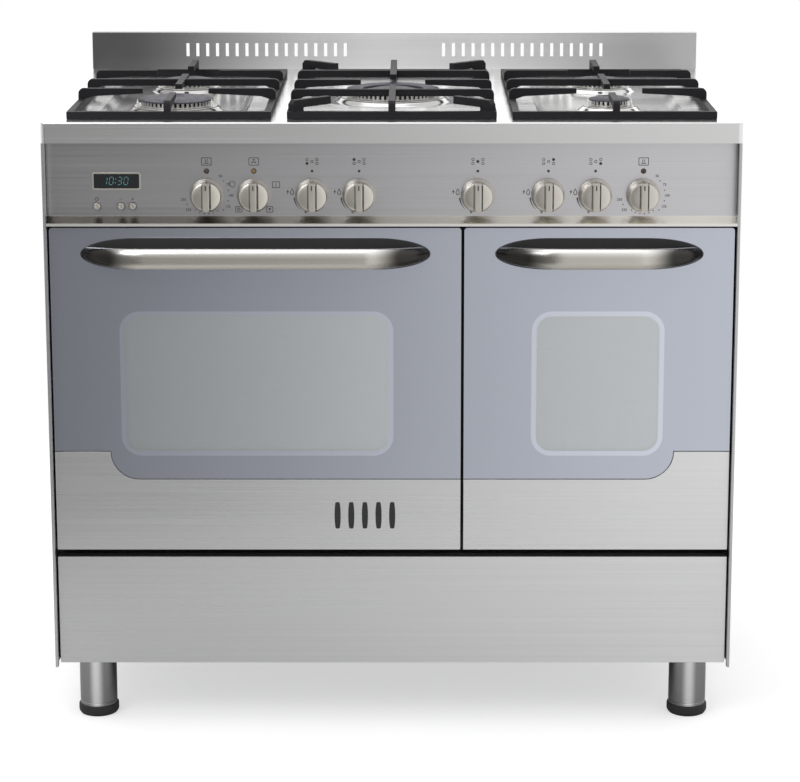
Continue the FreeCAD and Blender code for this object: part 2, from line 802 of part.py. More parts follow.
def make_convection_fan():
    """Motor behind the main oven, impeller, fan cover and the element that rings the impeller."""
    centre = "main_oven_x"
    shaft_end = "oven_back - fan_back_gap - fan_depth - shaft_nose"
    motor = fuse("FanMotor", [
        cylinder("MotorCan", "y", (centre, "oven_back + oven_wall", "fan_z"), "motor_depth", "motor_radius"),
        cylinder("MotorShaft", "y", (centre, shaft_end, "fan_z"),
                 f"oven_back + oven_wall + 1 - ({shaft_end})", "fan_shaft_radius"),
    ])
    piece("fan_motor", motor)
    back = "oven_back - fan_back_gap"
    blades = [
        cylinder("FanPlate", "y", (centre, f"{back} - sheet_metal", "fan_z"), "sheet_metal", "fan_radius"),
        cylinder("FanHub", "y", (centre, f"{back} - fan_depth", "fan_z"), "fan_depth", "fan_radius / 6"),
    ]
    step = 360 / count("fan_blade_count")
    for number in range(count("fan_blade_count")):
        angle = number * step
        blade = box(f"FanBlade{number}", ("0", "1"), (f"{back} - fan_depth", back), ("0", "1"))
        blade.setExpression("Length", bound("fan_radius - fan_blade_start"))
        blade.setExpression("Height", bound("sheet_metal"))
        blade.Placement.Rotation = FreeCAD.Rotation(FreeCAD.Vector(0, 1, 0), -angle - at("fan_blade_tilt"))
        blade.setExpression("Placement.Base.x", bound(f"{centre} + fan_blade_start * cos({angle} deg)"))
        blade.setExpression("Placement.Base.z", bound(f"fan_z + fan_blade_start * sin({angle} deg)"))
        blades.append(blade)
    bore = cylinder("FanBore", "y", (centre, f"{back} - 2 * fan_depth", "fan_z"), "3 * fan_depth",
                    "fan_shaft_radius + running_clearance")
    piece("fan_impeller", cut("FanImpeller", fuse("FanWheel", blades), [bore]))
    cover_face = "oven_back - fan_cover_gap"
    across = (f"{centre} - fan_cover_width / 2", f"{centre} + fan_cover_width / 2")
    up = ("fan_z - fan_cover_height / 2", "fan_z + fan_cover_height / 2")
    tray = box("FanCoverBlock", across, (cover_face, "oven_back"), up)
    hollow = box("FanCoverHollow", (f"{across[0]} + sheet_metal", f"{across[1]} - sheet_metal"),
                 (f"{cover_face} + sheet_metal", "oven_back + 1"),
                 (f"{up[0]} + sheet_metal", f"{up[1]} - sheet_metal"))
    tools = [hollow]
    reach = count("fan_grid_reach")
    for row in range(-reach, reach + 1):
        for column in range(-reach, reach + 1):
            if math.hypot(row, column) < reach + 1 / reach:
                tools.append(cylinder(f"FanCoverHole{row + reach}{column + reach}", "y",
                                      (f"{centre} + {column} * fan_hole_pitch", f"{cover_face} - 1",
                                       f"fan_z + {row} * fan_hole_pitch"), "sheet_metal + 2",
                                      "fan_hole_radius"))
    for number in range(5):
        middle = f"fan_z + ({number} - 2) * fan_cover_height / 6"
        tools.append(box(f"FanCoverSlot{number}", (f"{across[0]} - 1", f"{across[1]} + 1"),
                         (f"{cover_face} + fan_cover_gap / 3", f"{cover_face} + fan_cover_gap * 2 / 3"),
                         (f"{middle} - fan_cover_height / 20", f"{middle} + fan_cover_height / 20")))
    piece("fan_cover", cut("FanCover", tray, tools))


def make_elements():
    """Heating elements: ring round the fan, grill of the main oven, top and bottom of the second oven."""
    ring = doc.addObject("Part::Torus", "RingElement")
    ring.Placement = FreeCAD.Placement(FreeCAD.Vector(), FreeCAD.Rotation(FreeCAD.Vector(1, 0, 0), 90))
    ring.setExpression("Radius1", bound("ring_element_radius"))
    ring.setExpression("Radius2", bound("element_radius"))
    ring.setExpression("Placement.Base.x", bound("main_oven_x"))
    ring.setExpression("Placement.Base.y", bound("oven_back - fan_cover_gap / 2"))
    ring.setExpression("Placement.Base.z", bound("fan_z"))
    stud = cylinder("RingElementStud", "y",
                    ("main_oven_x", "oven_back - fan_cover_gap / 2", "fan_z + ring_element_radius"),
                    "fan_cover_gap / 2", "element_radius * 2 / 3")
    grill_level = at("oven_top") - at("grill_gap")
    piece("oven_elements", group("OvenElements", [
        fuse("FanRingElement", [ring, stud]),
        looped_element("MainGrill", "main", grill_level, 3),
        looped_element("SideGrill", "side", grill_level, 2),
        looped_element("SideBase", "side", at("oven_floor") + at("grill_gap"), 2)]))


def looped_element(name, oven, height, loops):
    """Sheathed element that leaves the oven's back wall, goes to and fro and returns to that wall."""
    centre, width = (at(item) for item in OVENS[oven])
    back = at("oven_back")
    front = at("frame_face") + at("element_front_gap")
    turn_back = back - at("element_back_gap")
    lanes = 2 * loops
    spread = width - 2 * at("element_side_gap")
    step = spread / (lanes - 1)
    left = centre - spread / 2
    points = [FreeCAD.Vector(left, back, height)]
    for lane in range(lanes):
        x = left + lane * step
        going_out = lane % 2 == 0
        if lane > 0:
            points.append(FreeCAD.Vector(x, front if not going_out else turn_back, height))
        if lane < lanes - 1:
            points.append(FreeCAD.Vector(x, front if going_out else turn_back, height))
    points.append(FreeCAD.Vector(left + spread, back, height))
    return bent_rod(name, points, at("element_radius"), at("element_bend"))


def make_oven_lamps():
    """Lamp glass in the ceiling of each oven."""
    lamps = []
    for oven, (centre, width) in OVENS.items():
        lamps.append(cylinder(oven + "LampGlass", "z",
                              (f"{centre} + {width} / 2 - 2 * lamp_glass_radius", "oven_back - lamp_glass_inset",
                               "oven_top - lamp_glass_drop"), "lamp_glass_drop", "lamp_glass_radius"))
    piece("oven_lamps", group("OvenLamps", lamps))


def make_shelves():
    """Wire shelf of each oven and the ladder of runners on each side wall."""
    ladders = []
    shelves = []
    for oven, (centre, width) in OVENS.items():
        front = "frame_face + shelf_set_back"
        along = "shelf_depth"
        half = f"({width} / 2 - runner_reach + shelf_rod)"
        level = f"oven_floor + runner_start + {oven}_shelf_rung * runner_pitch"
        rods = []
        for end, y in (("Front", front), ("Back", f"{front} + {along}")):
            rods.append(cylinder(oven + "Shelf" + end, "x", (f"{centre} - {half} + shelf_rod / 2", y, level),
                                 f"2 * {half} - shelf_rod", "shelf_rod"))
        for side, sign in SIDES.items():
            x = f"{centre} + {sign} * ({half} - shelf_rod)"
            rods.append(cylinder(f"{oven}ShelfSide{side}", "y", (x, f"{front} - shelf_rod / 2", level),
                                 f"{along} + shelf_rod", "shelf_rod"))
        span = at(width) - 2 * at("runner_reach") - 2 * at("shelf_rod")
        wires = int(span / at("shelf_wire_pitch"))
        for number in range(wires):
            x = f"{centre} + ({number} - {wires - 1} / 2) * shelf_wire_pitch"
            rods.append(cylinder(f"{oven}ShelfWire{number}", "y", (x, front, level), along, "shelf_wire"))
        shelves.append(fuse(oven + "Shelf", rods))
        for side, sign in SIDES.items():
            ladders.append(make_runner(oven, side, f"{centre} + {sign} * ({width} / 2 - runner_rod)",
                                       f"{centre} + {sign} * ({width} / 2 - runner_reach)"))
    piece("oven_shelves", group("OvenShelves", shelves))
    piece("shelf_runners", group("ShelfRunners", ladders))


def make_runner(oven, side, wall_x, rail_x):
    """Ladder of runner rods on one side wall: two uprights at the wall and pairs of rails."""
    name = f"{oven}Runner{side}"
    front = "frame_face + shelf_set_back"
    reach = "shelf_depth"
    low = "oven_floor + runner_start - runner_tail"
    tall = "(runner_count - 1) * runner_pitch + 2 * runner_tail"
    uprights = (("Front", f"{front} + runner_upright_inset"),
                ("Back", f"{front} + {reach} - runner_upright_inset"))
    rods = [cylinder(name + end, "z", (wall_x, y, low), tall, "runner_rod") for end, y in uprights]
    for number in range(count("runner_count")):
        level = f"oven_floor + runner_start + {number} * runner_pitch - shelf_rod - runner_rod - rest_gap"
        rods.append(cylinder(f"{name}Rail{number}", "y", (rail_x, front, level), reach, "runner_rod"))
        for end, y in uprights:
            start = wall_x if side == "left" else rail_x
            rods.append(cylinder(f"{name}Strut{number}{end}", "x", (start, y, level),
                                 "runner_reach - runner_rod", "runner_rod"))
    return fuse(name, rods)


# Oven doors

DOORS = {
    "main": ("-door_side", "main_door_right", "main_window_width", -1),
    "side": ("side_door_left", "door_side", "side_window_width", 1),
}


def make_door(door):
    """Drop-down door: outer glass, steel cover, hollow inner frame with the hinge pins, and inner glass."""
    left, right, window, outer_side = DOORS[door]
    name = door.capitalize() + "Door"
    centre = f"({left} + {right}) / 2"
    height = ("door_bottom", "door_top")
    piece(f"{door}_door_glass", rounded_slab(name + "Glass", (left, right), ("glass_face", "glass_back"),
                                             height, "door_corner"))
    piece(f"{door}_door_cover", make_door_cover(name, left, right, outer_side, door == "main"))
    across = (f"{left} + frame_inset", f"{right} - frame_inset")
    up = ("door_bottom + frame_inset / 2", "door_top - frame_inset")
    tray = box(name + "Tray", across, ("glass_back", "door_back"), up)
    hollow = box(name + "Hollow", (f"{across[0]} + sheet_metal", f"{across[1]} - sheet_metal"),
                 ("glass_back - 1", "door_back - sheet_metal"),
                 (f"{up[0]} + sheet_metal", f"{up[1]} - sheet_metal"))
    opening = rounded_slab(name + "Opening", (f"{centre} - {window} / 2", f"{centre} + {window} / 2"),
                           ("door_back - 2 * sheet_metal", "door_back + 1"),
                           ("door_bottom + window_sill", "door_bottom + window_sill + window_height"),
                           "window_radius")
    notches = []
    cheeks = []
    for side, edge in (("Left", f"{left} + hinge_inset"), ("Right", f"{right} - hinge_inset")):
        half = "(hinge_arm_width / 2 + hinge_side_play)"
        notches.append(box(f"{name}Notch{side}", (f"{edge} - {half}", f"{edge} + {half}"),
                           ("hinge_y - hinge_arm_radius - 1", "door_back + 1"),
                           ("door_bottom", "hinge_z + hinge_arm_radius + 1")))
        cheeks.append(box(f"{name}Cheeks{side}",
                          (f"{edge} - {half} - sheet_metal", f"{edge} + {half} + sheet_metal"),
                          ("glass_back", "door_back"), (up[0], "hinge_z + 4 * hinge_pin_radius")))
    shell = cut(name + "Shell", tray, [hollow, opening])
    boxed = fuse(name + "Boxed", [shell] + cheeks)
    notched = cut(name + "Notched", boxed, notches)
    pins = [cylinder(f"{name}Pin{side}", "x", (f"{edge} - hinge_arm_width", "hinge_y", "hinge_z"),
                     "2 * hinge_arm_width", "hinge_pin_radius")
            for side, edge in (("Left", f"{left} + hinge_inset"), ("Right", f"{right} - hinge_inset"))]
    piece(f"{door}_door_frame", fuse(name + "Frame", [notched] + pins))
    piece(f"{door}_door_inner_glass", rounded_slab(
        name + "InnerGlass", (f"{centre} - {window} / 2 - pane_lap", f"{centre} + {window} / 2 + pane_lap"),
        ("door_back - sheet_metal - glass_thickness", "door_back - sheet_metal"),
        ("door_bottom + window_sill - pane_lap", "door_bottom + window_sill + window_height + pane_lap"),
        "window_radius"))


def make_door_cover(name, left, right, outer_side, vented):
    """Steel sheet over the foot of the glass, high at the outer side and stepped down in a quarter round."""
    along = ("door_face", "glass_face")
    shoulder = f"{left} + cover_shoulder" if outer_side < 0 else f"{right} - cover_shoulder"
    arc_centre = f"{shoulder} + {-outer_side} * cover_step"
    low = rounded_slab(name + "CoverLow", (left, right), along,
                       ("door_bottom", "door_bottom + cover_height + door_corner"), "door_corner")
    level = box(name + "CoverLevel", (left, right), along,
                ("door_bottom + cover_height", "door_bottom + 2 * cover_height"))
    sheet = cut(name + "CoverSheet", low, [level])
    ends = (left, arc_centre) if outer_side < 0 else (arc_centre, right)
    step = box(name + "CoverStep", ends, along,
               ("door_bottom + door_corner", "door_bottom + cover_height + cover_step"))
    bite = cylinder(name + "CoverBite", "y",
                    (arc_centre, "door_face - 1", "door_bottom + cover_height + cover_step"),
                    "cover_thickness + 2", "cover_step")
    cover = fuse(name + "CoverWhole", [sheet, cut(name + "CoverRound", step, [bite])])
    if not vented:
        return cover
    tools = []
    for number in range(count("slot_count")):
        middle = f"{right} - slot_inset + ({number} - (slot_count - 1) / 2) * slot_pitch"
        tools.append(rounded_slab(f"{name}Slot{number}",
                                  (f"{middle} - slot_width / 2", f"{middle} + slot_width / 2"),
                                  ("door_face - 1", "glass_face + 1"),
                                  ("door_bottom + slot_rise - slot_height / 2",
                                   "door_bottom + slot_rise + slot_height / 2"), "slot_width / 2.01"))
    return cut(name + "Cover", cover, tools)


def oval(centre, lean, tall, deep):
    """Upright oval section about a point, leaning back from +X by an angle."""
    across = FreeCAD.Vector(math.sin(lean), math.cos(lean), 0) * deep
    rim = Part.Ellipse(centre + FreeCAD.Vector(0, 0, tall), centre + across, centre)
    return Part.Wire([rim.toShape()])


def make_handle_plate(door):
    """Dark plate behind a door's handle, with long oval ends."""
    left, right = DOORS[door][:2]
    name = door.capitalize() + "HandlePlate"
    front = "glass_face - handle_plate_thickness"
    ends = (f"{left} + handle_margin + handle_plate_end", f"{right} - handle_margin - handle_plate_end")
    parts = [box(name + "Middle", ends, (front, "glass_face"),
                 ("handle_z - handle_plate_height / 2", "handle_z + handle_plate_height / 2"))]
    for side, x in zip(("Left", "Right"), ends):
        rim = doc.addObject("Part::Ellipse", name + side + "Rim")
        rim.Placement = FreeCAD.Placement(FreeCAD.Vector(), FreeCAD.Rotation(FreeCAD.Vector(1, 0, 0), 90))
        for axis, place in zip("xyz", (x, front, "handle_z")):
            rim.setExpression(f"Placement.Base.{axis}", bound(place))
        rim.setExpression("MajorRadius", bound("handle_plate_end"))
        rim.setExpression("MinorRadius", bound("handle_plate_height / 2"))
        end = doc.addObject("Part::Extrusion", name + side)
        end.Base = rim
        end.DirMode = "Custom"
        end.Dir = FreeCAD.Vector(0, 1, 0)
        end.Solid = True
        end.setExpression("LengthFwd", bound("handle_plate_thickness"))
        parts.append(end)
    piece(f"{door}_door_handle_plate", fuse(name, parts))


def make_door_handle(door):
    """Bowed bar of flattened oval section that thins towards its feet on the plate."""
    place = {"main": (-at("door_side"), at("main_door_right")),
             "side": (at("side_door_left"), at("door_side"))}[door]
    inset = at("handle_margin") + at("handle_foot_inset")
    first, last = place[0] + inset, place[1] - inset
    foot = at("glass_face") - at("handle_plate_thickness")
    crest = at("door_face") - at("handle_projection") + at("handle_depth") / 2
    radius, height = at("handle_bend_radius"), at("handle_z")
    tall, deep = at("handle_height") / 2, at("handle_depth") / 2
    thinning = tall - at("handle_foot_height") / 2
    turn = math.acos(1 - (foot - crest) / radius)
    reach = radius * math.sin(turn)
    shares = [1.2, 1.0, 0.8, 0.6, 0.4, 0.2, 0.0]
    ends = []
    for start, inward in ((first, 1), (last, -1)):
        sections = []
        for share in shares:
            lean = turn * share
            centre = FreeCAD.Vector(start + inward * (reach - radius * math.sin(lean)),
                                    crest + radius * (1 - math.cos(lean)), height)
            sections.append(oval(centre, inward * lean, tall - thinning * share ** 2, deep))
        ends.append(Part.makeLoft(sections, True, False))
    straight = oval(FreeCAD.Vector(first + reach, crest, height), 0, tall, deep)
    middle = Part.Face(straight).extrude(FreeCAD.Vector(last - first - 2 * reach, 0, 0))
    behind = Part.makeBox(last - first + 2 * reach, 2 * radius, 4 * tall,
                          FreeCAD.Vector(first - reach, foot, height - 2 * tall))
    bar = doc.addObject("Part::Feature", door.capitalize() + "HandleBar")
    bar.Shape = middle.fuse(ends).cut(behind)
    piece(f"{door}_door_handle", bar)


def make_hinge_arms():
    """Arms fixed in the front frame, each with an eye round a pin of a door or of the flap."""
    arms = []
    places = []
    for door, (left, right, window, outer_side) in DOORS.items():
        for side, edge in (("Left", f"{left} + hinge_inset"), ("Right", f"{right} - hinge_inset")):
            places.append((door + side, edge, "hinge_y", "hinge_z", "frame_face"))
    for side, sign in SIDES.items():
        places.append(("flap" + side, f"{sign} * (door_side - hinge_inset / 2)", "flap_hinge_y",
                       "flap_hinge_z", "tray_front + hinge_foot"))
    for name, x, y, z, end in places:
        across = (f"{x} - hinge_arm_width / 2", f"{x} + hinge_arm_width / 2")
        eye = cylinder(name + "Eye", "x", (across[0], y, z), "hinge_arm_width", "hinge_arm_radius")
        bar = box(name + "Bar", across, (y, end),
                  (f"{z} - hinge_arm_height / 2", f"{z} + hinge_arm_height / 2"))
        parts = [eye, bar]
        if name.startswith("flap"):
            parts.append(box(name + "Foot", across, ("tray_front", end), ("tray_top", z)))
        bore = cylinder(name + "Bore", "x", (f"{x} - hinge_arm_width", y, z), "2 * hinge_arm_width",
                        "hinge_pin_radius + running_clearance")
        arms.append(cut(name + "Arm", fuse(name + "Blank", parts), [bore]))
    piece("hinge_arms", group("HingeArms", arms))


def make_door_seals():
    """Round-cornered seal on the front frame about each oven's mouth."""
    seals = []
    for oven, (centre, width) in OVENS.items():
        along = ("door_back + rest_gap", "frame_face")
        outer = oven_slab(oven + "SealOuter", centre, width, along, "oven_wall + seal_width")
        inner = oven_slab(oven + "SealInner", centre, width, ("door_back - 1", "frame_face + 1"), "oven_wall")
        seals.append(cut(oven + "Seal", outer, [inner]))
    piece("door_seals", group("DoorSeals", seals))


def make_flap():
    """Drop-down front of the storage compartment: a folded steel tray with a pin at each lower corner."""
    across = ("-door_side", "door_side")
    up = ("flap_bottom", "flap_top")
    block = box("FlapBlock", across, ("door_face", "flap_back"), up)
    hollow = box("FlapHollow", ("sheet_metal - door_side", "door_side - sheet_metal"),
                 ("door_face + sheet_metal", "flap_back + 1"),
                 ("flap_bottom + sheet_metal", "flap_top - sheet_metal"))
    shell = cut("FlapShell", block, [hollow])
    cheeks, notches, pins = [], [], []
    for side, sign in SIDES.items():
        x = f"{sign} * (door_side - hinge_inset / 2)"
        half = "(hinge_arm_width / 2 + hinge_side_play)"
        cheeks.append(box("FlapCheeks" + side, (f"{x} - {half} - sheet_metal", f"{x} + {half} + sheet_metal"),
                          ("door_face", "flap_back"), ("flap_bottom", "flap_hinge_z + 3 * hinge_pin_radius")))
        notches.append(box("FlapNotch" + side, (f"{x} - {half}", f"{x} + {half}"),
                           ("flap_hinge_y - hinge_arm_radius - 1", "flap_back + 1"),
                           ("flap_bottom - 1", "flap_hinge_z + hinge_arm_radius + 1")))
        pins.append(cylinder("FlapPin" + side, "x",
                             (f"{x} - hinge_arm_width", "flap_hinge_y", "flap_hinge_z"),
                             "2 * hinge_arm_width", "hinge_pin_radius"))
    notched = cut("FlapNotched", fuse("FlapBoxed", [shell] + cheeks), notches)
    piece("storage_flap", fuse("StorageFlap", [notched] + pins))


# Burners and pan supports

def make_burners():
    """Cups, flame spreaders, caps and electrodes of the five burners."""
    cups, spreaders, caps, electrodes = [], [], [], []
    flange_top = "hob_height + cup_flange_thickness"
    cap_top = "cap_base + cap_thickness"
    for name, (x, y, radius) in BURNERS.items():
        body = f"{radius} - cup_body_inset"
        cups.append(turned_upright("Cup" + name, x, y, [
            ("0", "hob_height - cup_depth"), (body, "hob_height - cup_depth"), (body, "hob_height"),
            (f"{radius} + cup_flange_reach", "hob_height"), (f"{radius} + cup_flange_reach", flange_top),
            ("0", flange_top)]))
        spread = f"{radius} - spreader_inset"
        if name == "Centre":
            hollow = f"{radius} - wok_ring_width"
            spreaders.append(turned_upright("Spreader" + name, x, y, [
                ("0", flange_top), (spread, flange_top), (spread, "cap_base"),
                (hollow, "cap_base"), (hollow, f"{flange_top} + spreader_height / 2"),
                ("wok_core_radius - spreader_inset", f"{flange_top} + spreader_height / 2"),
                ("wok_core_radius - spreader_inset", "cap_base"), ("0", "cap_base")]))
            caps.append(turned_upright("CapRing", x, y, [
                (hollow, "cap_base"), (radius, "cap_base"), (radius, f"{cap_top} - cap_edge"),
                (f"{radius} - 2 * cap_edge", cap_top), (hollow, cap_top)]))
            radius = "wok_core_radius"
        else:
            spreaders.append(turned_upright("Spreader" + name, x, y, [
                ("0", flange_top), (spread, flange_top), (spread, "cap_base"), ("0", "cap_base")]))
        caps.append(turned_upright("Cap" + name, x, y, [
            ("0", "cap_base"), (radius, "cap_base"), (radius, f"{cap_top} - cap_edge"),
            (f"{radius} - 2 * cap_edge", cap_top), ("0", cap_top)]))
        for part, angle in (("Spark", 200), ("Probe", 340)):
            reach = f"({BURNERS[name][2]} + cup_flange_reach / 2)"
            foot = (f"{x} + {reach} * cos({angle} deg)", f"{y} + {reach} * sin({angle} deg)", flange_top)
            electrodes.append(cylinder(part + name, "z", foot, "electrode_height", "electrode_radius"))
    piece("burner_cups", group("BurnerCups", cups))
    piece("flame_spreaders", group("FlameSpreaders", spreaders))
    piece("burner_caps", group("BurnerCaps", caps))
    piece("ignition_electrodes", group("IgnitionElectrodes", electrodes))


def shoulder(edge, inward):
    """Rounded top corner of a bar, in three flats from its top to its outer edge."""
    return [(f"{edge} + {inward} * finger_shoulder", "finger_top"),
            (f"{edge} + {inward} * finger_shoulder / 2", "finger_top - finger_shoulder / 7.5"),
            (f"{edge} + {inward} * finger_shoulder / 7.5", "finger_top - finger_shoulder / 2"),
            (edge, "finger_top - finger_shoulder")]


def finger(edge, tip, inward):
    """Outline of one finger: post on the frame's bar, arched bar and thin tip, from edge to tip."""
    post = f"{edge} + {inward} * bar_width"
    arch = f"{edge} + {inward} * 2.2 * bar_width"
    return [(edge, "frame_bar_top - frame_bar_height / 2"), (post, "frame_bar_top - frame_bar_height / 2"),
            (post, "frame_bar_top"), (arch, "finger_top - finger_root"), (tip, "finger_top - finger_tip"),
            (tip, "finger_top")] + shoulder(edge, inward)


def bridge(left, right):
    """Outline of a bar that crosses from one side of the frame to the other."""
    return [(left, "frame_bar_top - frame_bar_height / 2"),
            (f"{left} + bar_width", "frame_bar_top - frame_bar_height / 2"),
            (f"{left} + bar_width", "frame_bar_top"),
            (f"{left} + 2.2 * bar_width", "finger_top - frame_bar_height"),
            (f"{right} - 2.2 * bar_width", "finger_top - frame_bar_height"),
            (f"{right} - bar_width", "frame_bar_top"),
            (f"{right} - bar_width", "frame_bar_top - frame_bar_height / 2"),
            (right, "frame_bar_top - frame_bar_height / 2")] + shoulder(right, -1)[::-1] + shoulder(left, 1)


def support_frame(name, left, right):
    """Body that starts as the low rectangular frame of a pan support."""
    body = doc.addObject("PartDesign::Body", name)
    outer = rectangle((left, right), ("hob_front + support_front", "hob_front + support_back"))
    inner = rectangle((f"{left} + bar_width", f"{right} - bar_width"),
                      ("hob_front + support_front + bar_width", "hob_front + support_back - bar_width"))
    sketch = polygon(body, name + "Frame", "XY_Plane", "hob_height + rest_gap", [outer, inner])
    pad(body, sketch, "frame_bar_height")
    return body


def across_bars(body, name, depth, profiles):
    """Bars that run side to side, padded over one bar's width about a depth."""
    sketch = polygon(body, body.Name + name, "XZ_Plane", f"hob_front + {depth} - bar_width / 2", profiles)
    pad(body, sketch, "bar_width", towards_back=True)


def along_bars(body, name, x, profiles):
    """Bars that run front to back, padded over one bar's width about x."""
    sketch = polygon(body, body.Name + name, "YZ_Plane", f"{x} - bar_width / 2", profiles)
    pad(body, sketch, "bar_width")


def loose_finger(centre, reach):
    """Outline of the finger that crosses the middle bar, pointing at the burner before and behind it."""
    return [(f"{centre} - {reach}", "finger_top - finger_tip"), (centre, "finger_top - finger_root"),
            (f"{centre} + {reach}", "finger_top - finger_tip"), (f"{centre} + {reach}", "finger_top"),
            (f"{centre} - {reach}", "finger_top")]


FRONT_EDGE = "hob_front + support_front"
BACK_EDGE = "hob_front + support_back"


def make_side_support(side):
    """Pan support over the two burners of one side."""
    sign = SIDES[side]
    left, right = sided(sign, "support_inner_x", "support_outer_x")
    middle = f"{sign} * burner_side_x"
    body = support_frame("PanSupport" + side.capitalize(), left, right)
    for place in ("front", "rear"):
        tips = [finger(left, f"{middle} - finger_gap", 1), finger(right, f"{middle} + finger_gap", -1)]
        across_bars(body, place.capitalize() + "Fingers", f"burner_{place}_depth", tips)
    centre = "(burner_front_depth + burner_rear_depth) / 2"
    across_bars(body, "Bridge", centre, [bridge(left, right)])
    along_bars(body, "Centre", middle, [
        finger(FRONT_EDGE, "hob_front + burner_front_depth - finger_gap", 1),
        loose_finger(f"hob_front + {centre}", "((burner_rear_depth - burner_front_depth) / 2 - finger_gap)"),
        finger(BACK_EDGE, "hob_front + burner_rear_depth + finger_gap", -1)])
    piece("pan_support_" + side, body)


def make_centre_support():
    """Pan support over the wok burner, with two cross bars and short fingers at its corners."""
    left, right = "-support_centre_half", "support_centre_half"
    body = support_frame("PanSupportCentre", left, right)
    tips = [finger(left, "-finger_gap", 1), finger(right, "finger_gap", -1)]
    across_bars(body, "SideFingers", "wok_depth", tips)
    across_bars(body, "FrontBridge", "wok_depth - cross_bar_spread", [bridge(left, right)])
    across_bars(body, "BackBridge", "wok_depth + cross_bar_spread", [bridge(left, right)])
    along_bars(body, "Centre", "0", [
        finger(FRONT_EDGE, "hob_front + wok_depth - wok_finger_gap", 1),
        finger(BACK_EDGE, "hob_front + wok_depth + wok_finger_gap", -1)])
    corners = []
    for side, sign in SIDES.items():
        for place, y, turn in (("Front", FRONT_EDGE, 1), ("Back", BACK_EDGE, -1)):
            name = f"CornerFinger{side}{place}"
            bar = box(name, ("0", "corner_finger_length"), ("0", "bar_width"),
                      ("frame_bar_top - frame_bar_height / 2", "finger_top"))
            angle = turn * 45 if sign < 0 else 180 - turn * 45
            bar.Placement.Rotation = FreeCAD.Rotation(FreeCAD.Vector(0, 0, 1), angle)
            slant = math.radians(angle)
            bar.setExpression("Placement.Base.x", bound(
                f"{sign} * (support_centre_half - bar_width / 2) + bar_width / 2 * {math.sin(slant):.9f}"))
            bar.setExpression("Placement.Base.y", bound(
                f"{y} + {turn} * bar_width / 2 - bar_width / 2 * {math.cos(slant):.9f}"))
            arch = box(name + "Arch", ("corner_post_width", "corner_finger_length + 1"),
                       ("-1", "bar_width + 1"), ("hob_height", "finger_top - finger_root"))
            arch.Placement.Rotation = bar.Placement.Rotation
            arch.setExpression("Placement.Base.x", bound(
                f"{sign} * (support_centre_half - bar_width / 2)"
                f" + (bar_width / 2 + 1) * {math.sin(slant):.9f}"
                f" + corner_post_width * {math.cos(slant):.9f}"))
            arch.setExpression("Placement.Base.y", bound(
                f"{y} + {turn} * bar_width / 2 - (bar_width / 2 + 1) * {math.cos(slant):.9f}"
                f" + corner_post_width * {math.sin(slant):.9f}"))
            slope = box(name + "Slope", ("0", "(corner_finger_shoulder + 2) * sqrt(2)"), ("0", "bar_width + 2"),
                        ("finger_top - corner_finger_shoulder - 1", "finger_top"))
            tilt = FreeCAD.Rotation(FreeCAD.Vector(0, 1, 0), -45)
            slope.Placement.Rotation = bar.Placement.Rotation.multiply(tilt)
            slope.setExpression("Placement.Base.x", bound(
                f"{sign} * (support_centre_half - bar_width / 2)"
                f" + (bar_width / 2 + 1) * {math.sin(slant):.9f} - {math.cos(slant):.9f}"))
            slope.setExpression("Placement.Base.y", bound(
                f"{y} + {turn} * bar_width / 2 - (bar_width / 2 + 1) * {math.cos(slant):.9f}"
                f" - {math.sin(slant):.9f}"))
            corners.append(cut(name + "Cut", bar, [arch, slope]))
    piece("pan_support_centre", fuse("CentreSupport", [body] + corners))


# Controls

KNOBS = {
    "MainThermostat": ("main_thermostat_x", "switch"),
    "MainSelector": ("main_selector_x", "switch"),
    "TapFrontLeft": ("tap_front_left_x", "tap"),
    "TapRearLeft": ("tap_rear_left_x", "tap"),
    "TapCentre": ("tap_centre_x", "tap"),
    "TapRearRight": ("tap_rear_right_x", "tap"),
    "TapFrontRight": ("tap_front_right_x", "tap"),
    "SideThermostat": ("side_thermostat_x", "switch"),
}
BUTTONS = {"Clock": "button_clock_x", "Minus": "button_minus_x", "Plus": "button_plus_x"}
LAMPS = ("MainThermostat", "MainSelector", "SideThermostat")


def snake(name):
    """Lower-case name with underscores."""
    return re.sub(r"(?<!^)([A-Z])", r"_\1", name).lower()


def make_knob(name, x):
    """Knob: skirt, domed body with a raised grip bar, and a bore for the spindle."""
    back = "fascia_face - rest_gap"
    front = "fascia_face - knob_dome"
    dial = turned_level("Knob" + name, x, "knob_z", [
        (back, "0"), (back, "knob_radius"), (f"{back} - knob_skirt", "knob_radius"),
        (f"{front} + 3 * knob_edge", "knob_face_radius + knob_edge"),
        (f"{front} + knob_edge", "knob_face_radius"),
        (front, "knob_face_radius - 3 * knob_edge"), (front, "0")])
    grip = rounded_slab(f"Grip{name}", (f"{x} - knob_bar_width / 2", f"{x} + knob_bar_width / 2"),
                        ("fascia_face - knob_length", back),
                        ("knob_z - knob_bar_length / 2", "knob_z + knob_bar_length / 2"), "knob_edge")
    bore = cylinder(f"KnobBore{name}", "y", (x, f"{back} - knob_bore_depth", "knob_z"), "knob_bore_depth + 1",
                    "spindle_radius + running_clearance")
    piece("knob_" + snake(name), cut("Dial" + name, fuse("Turned" + name, [dial, grip]), [bore]))


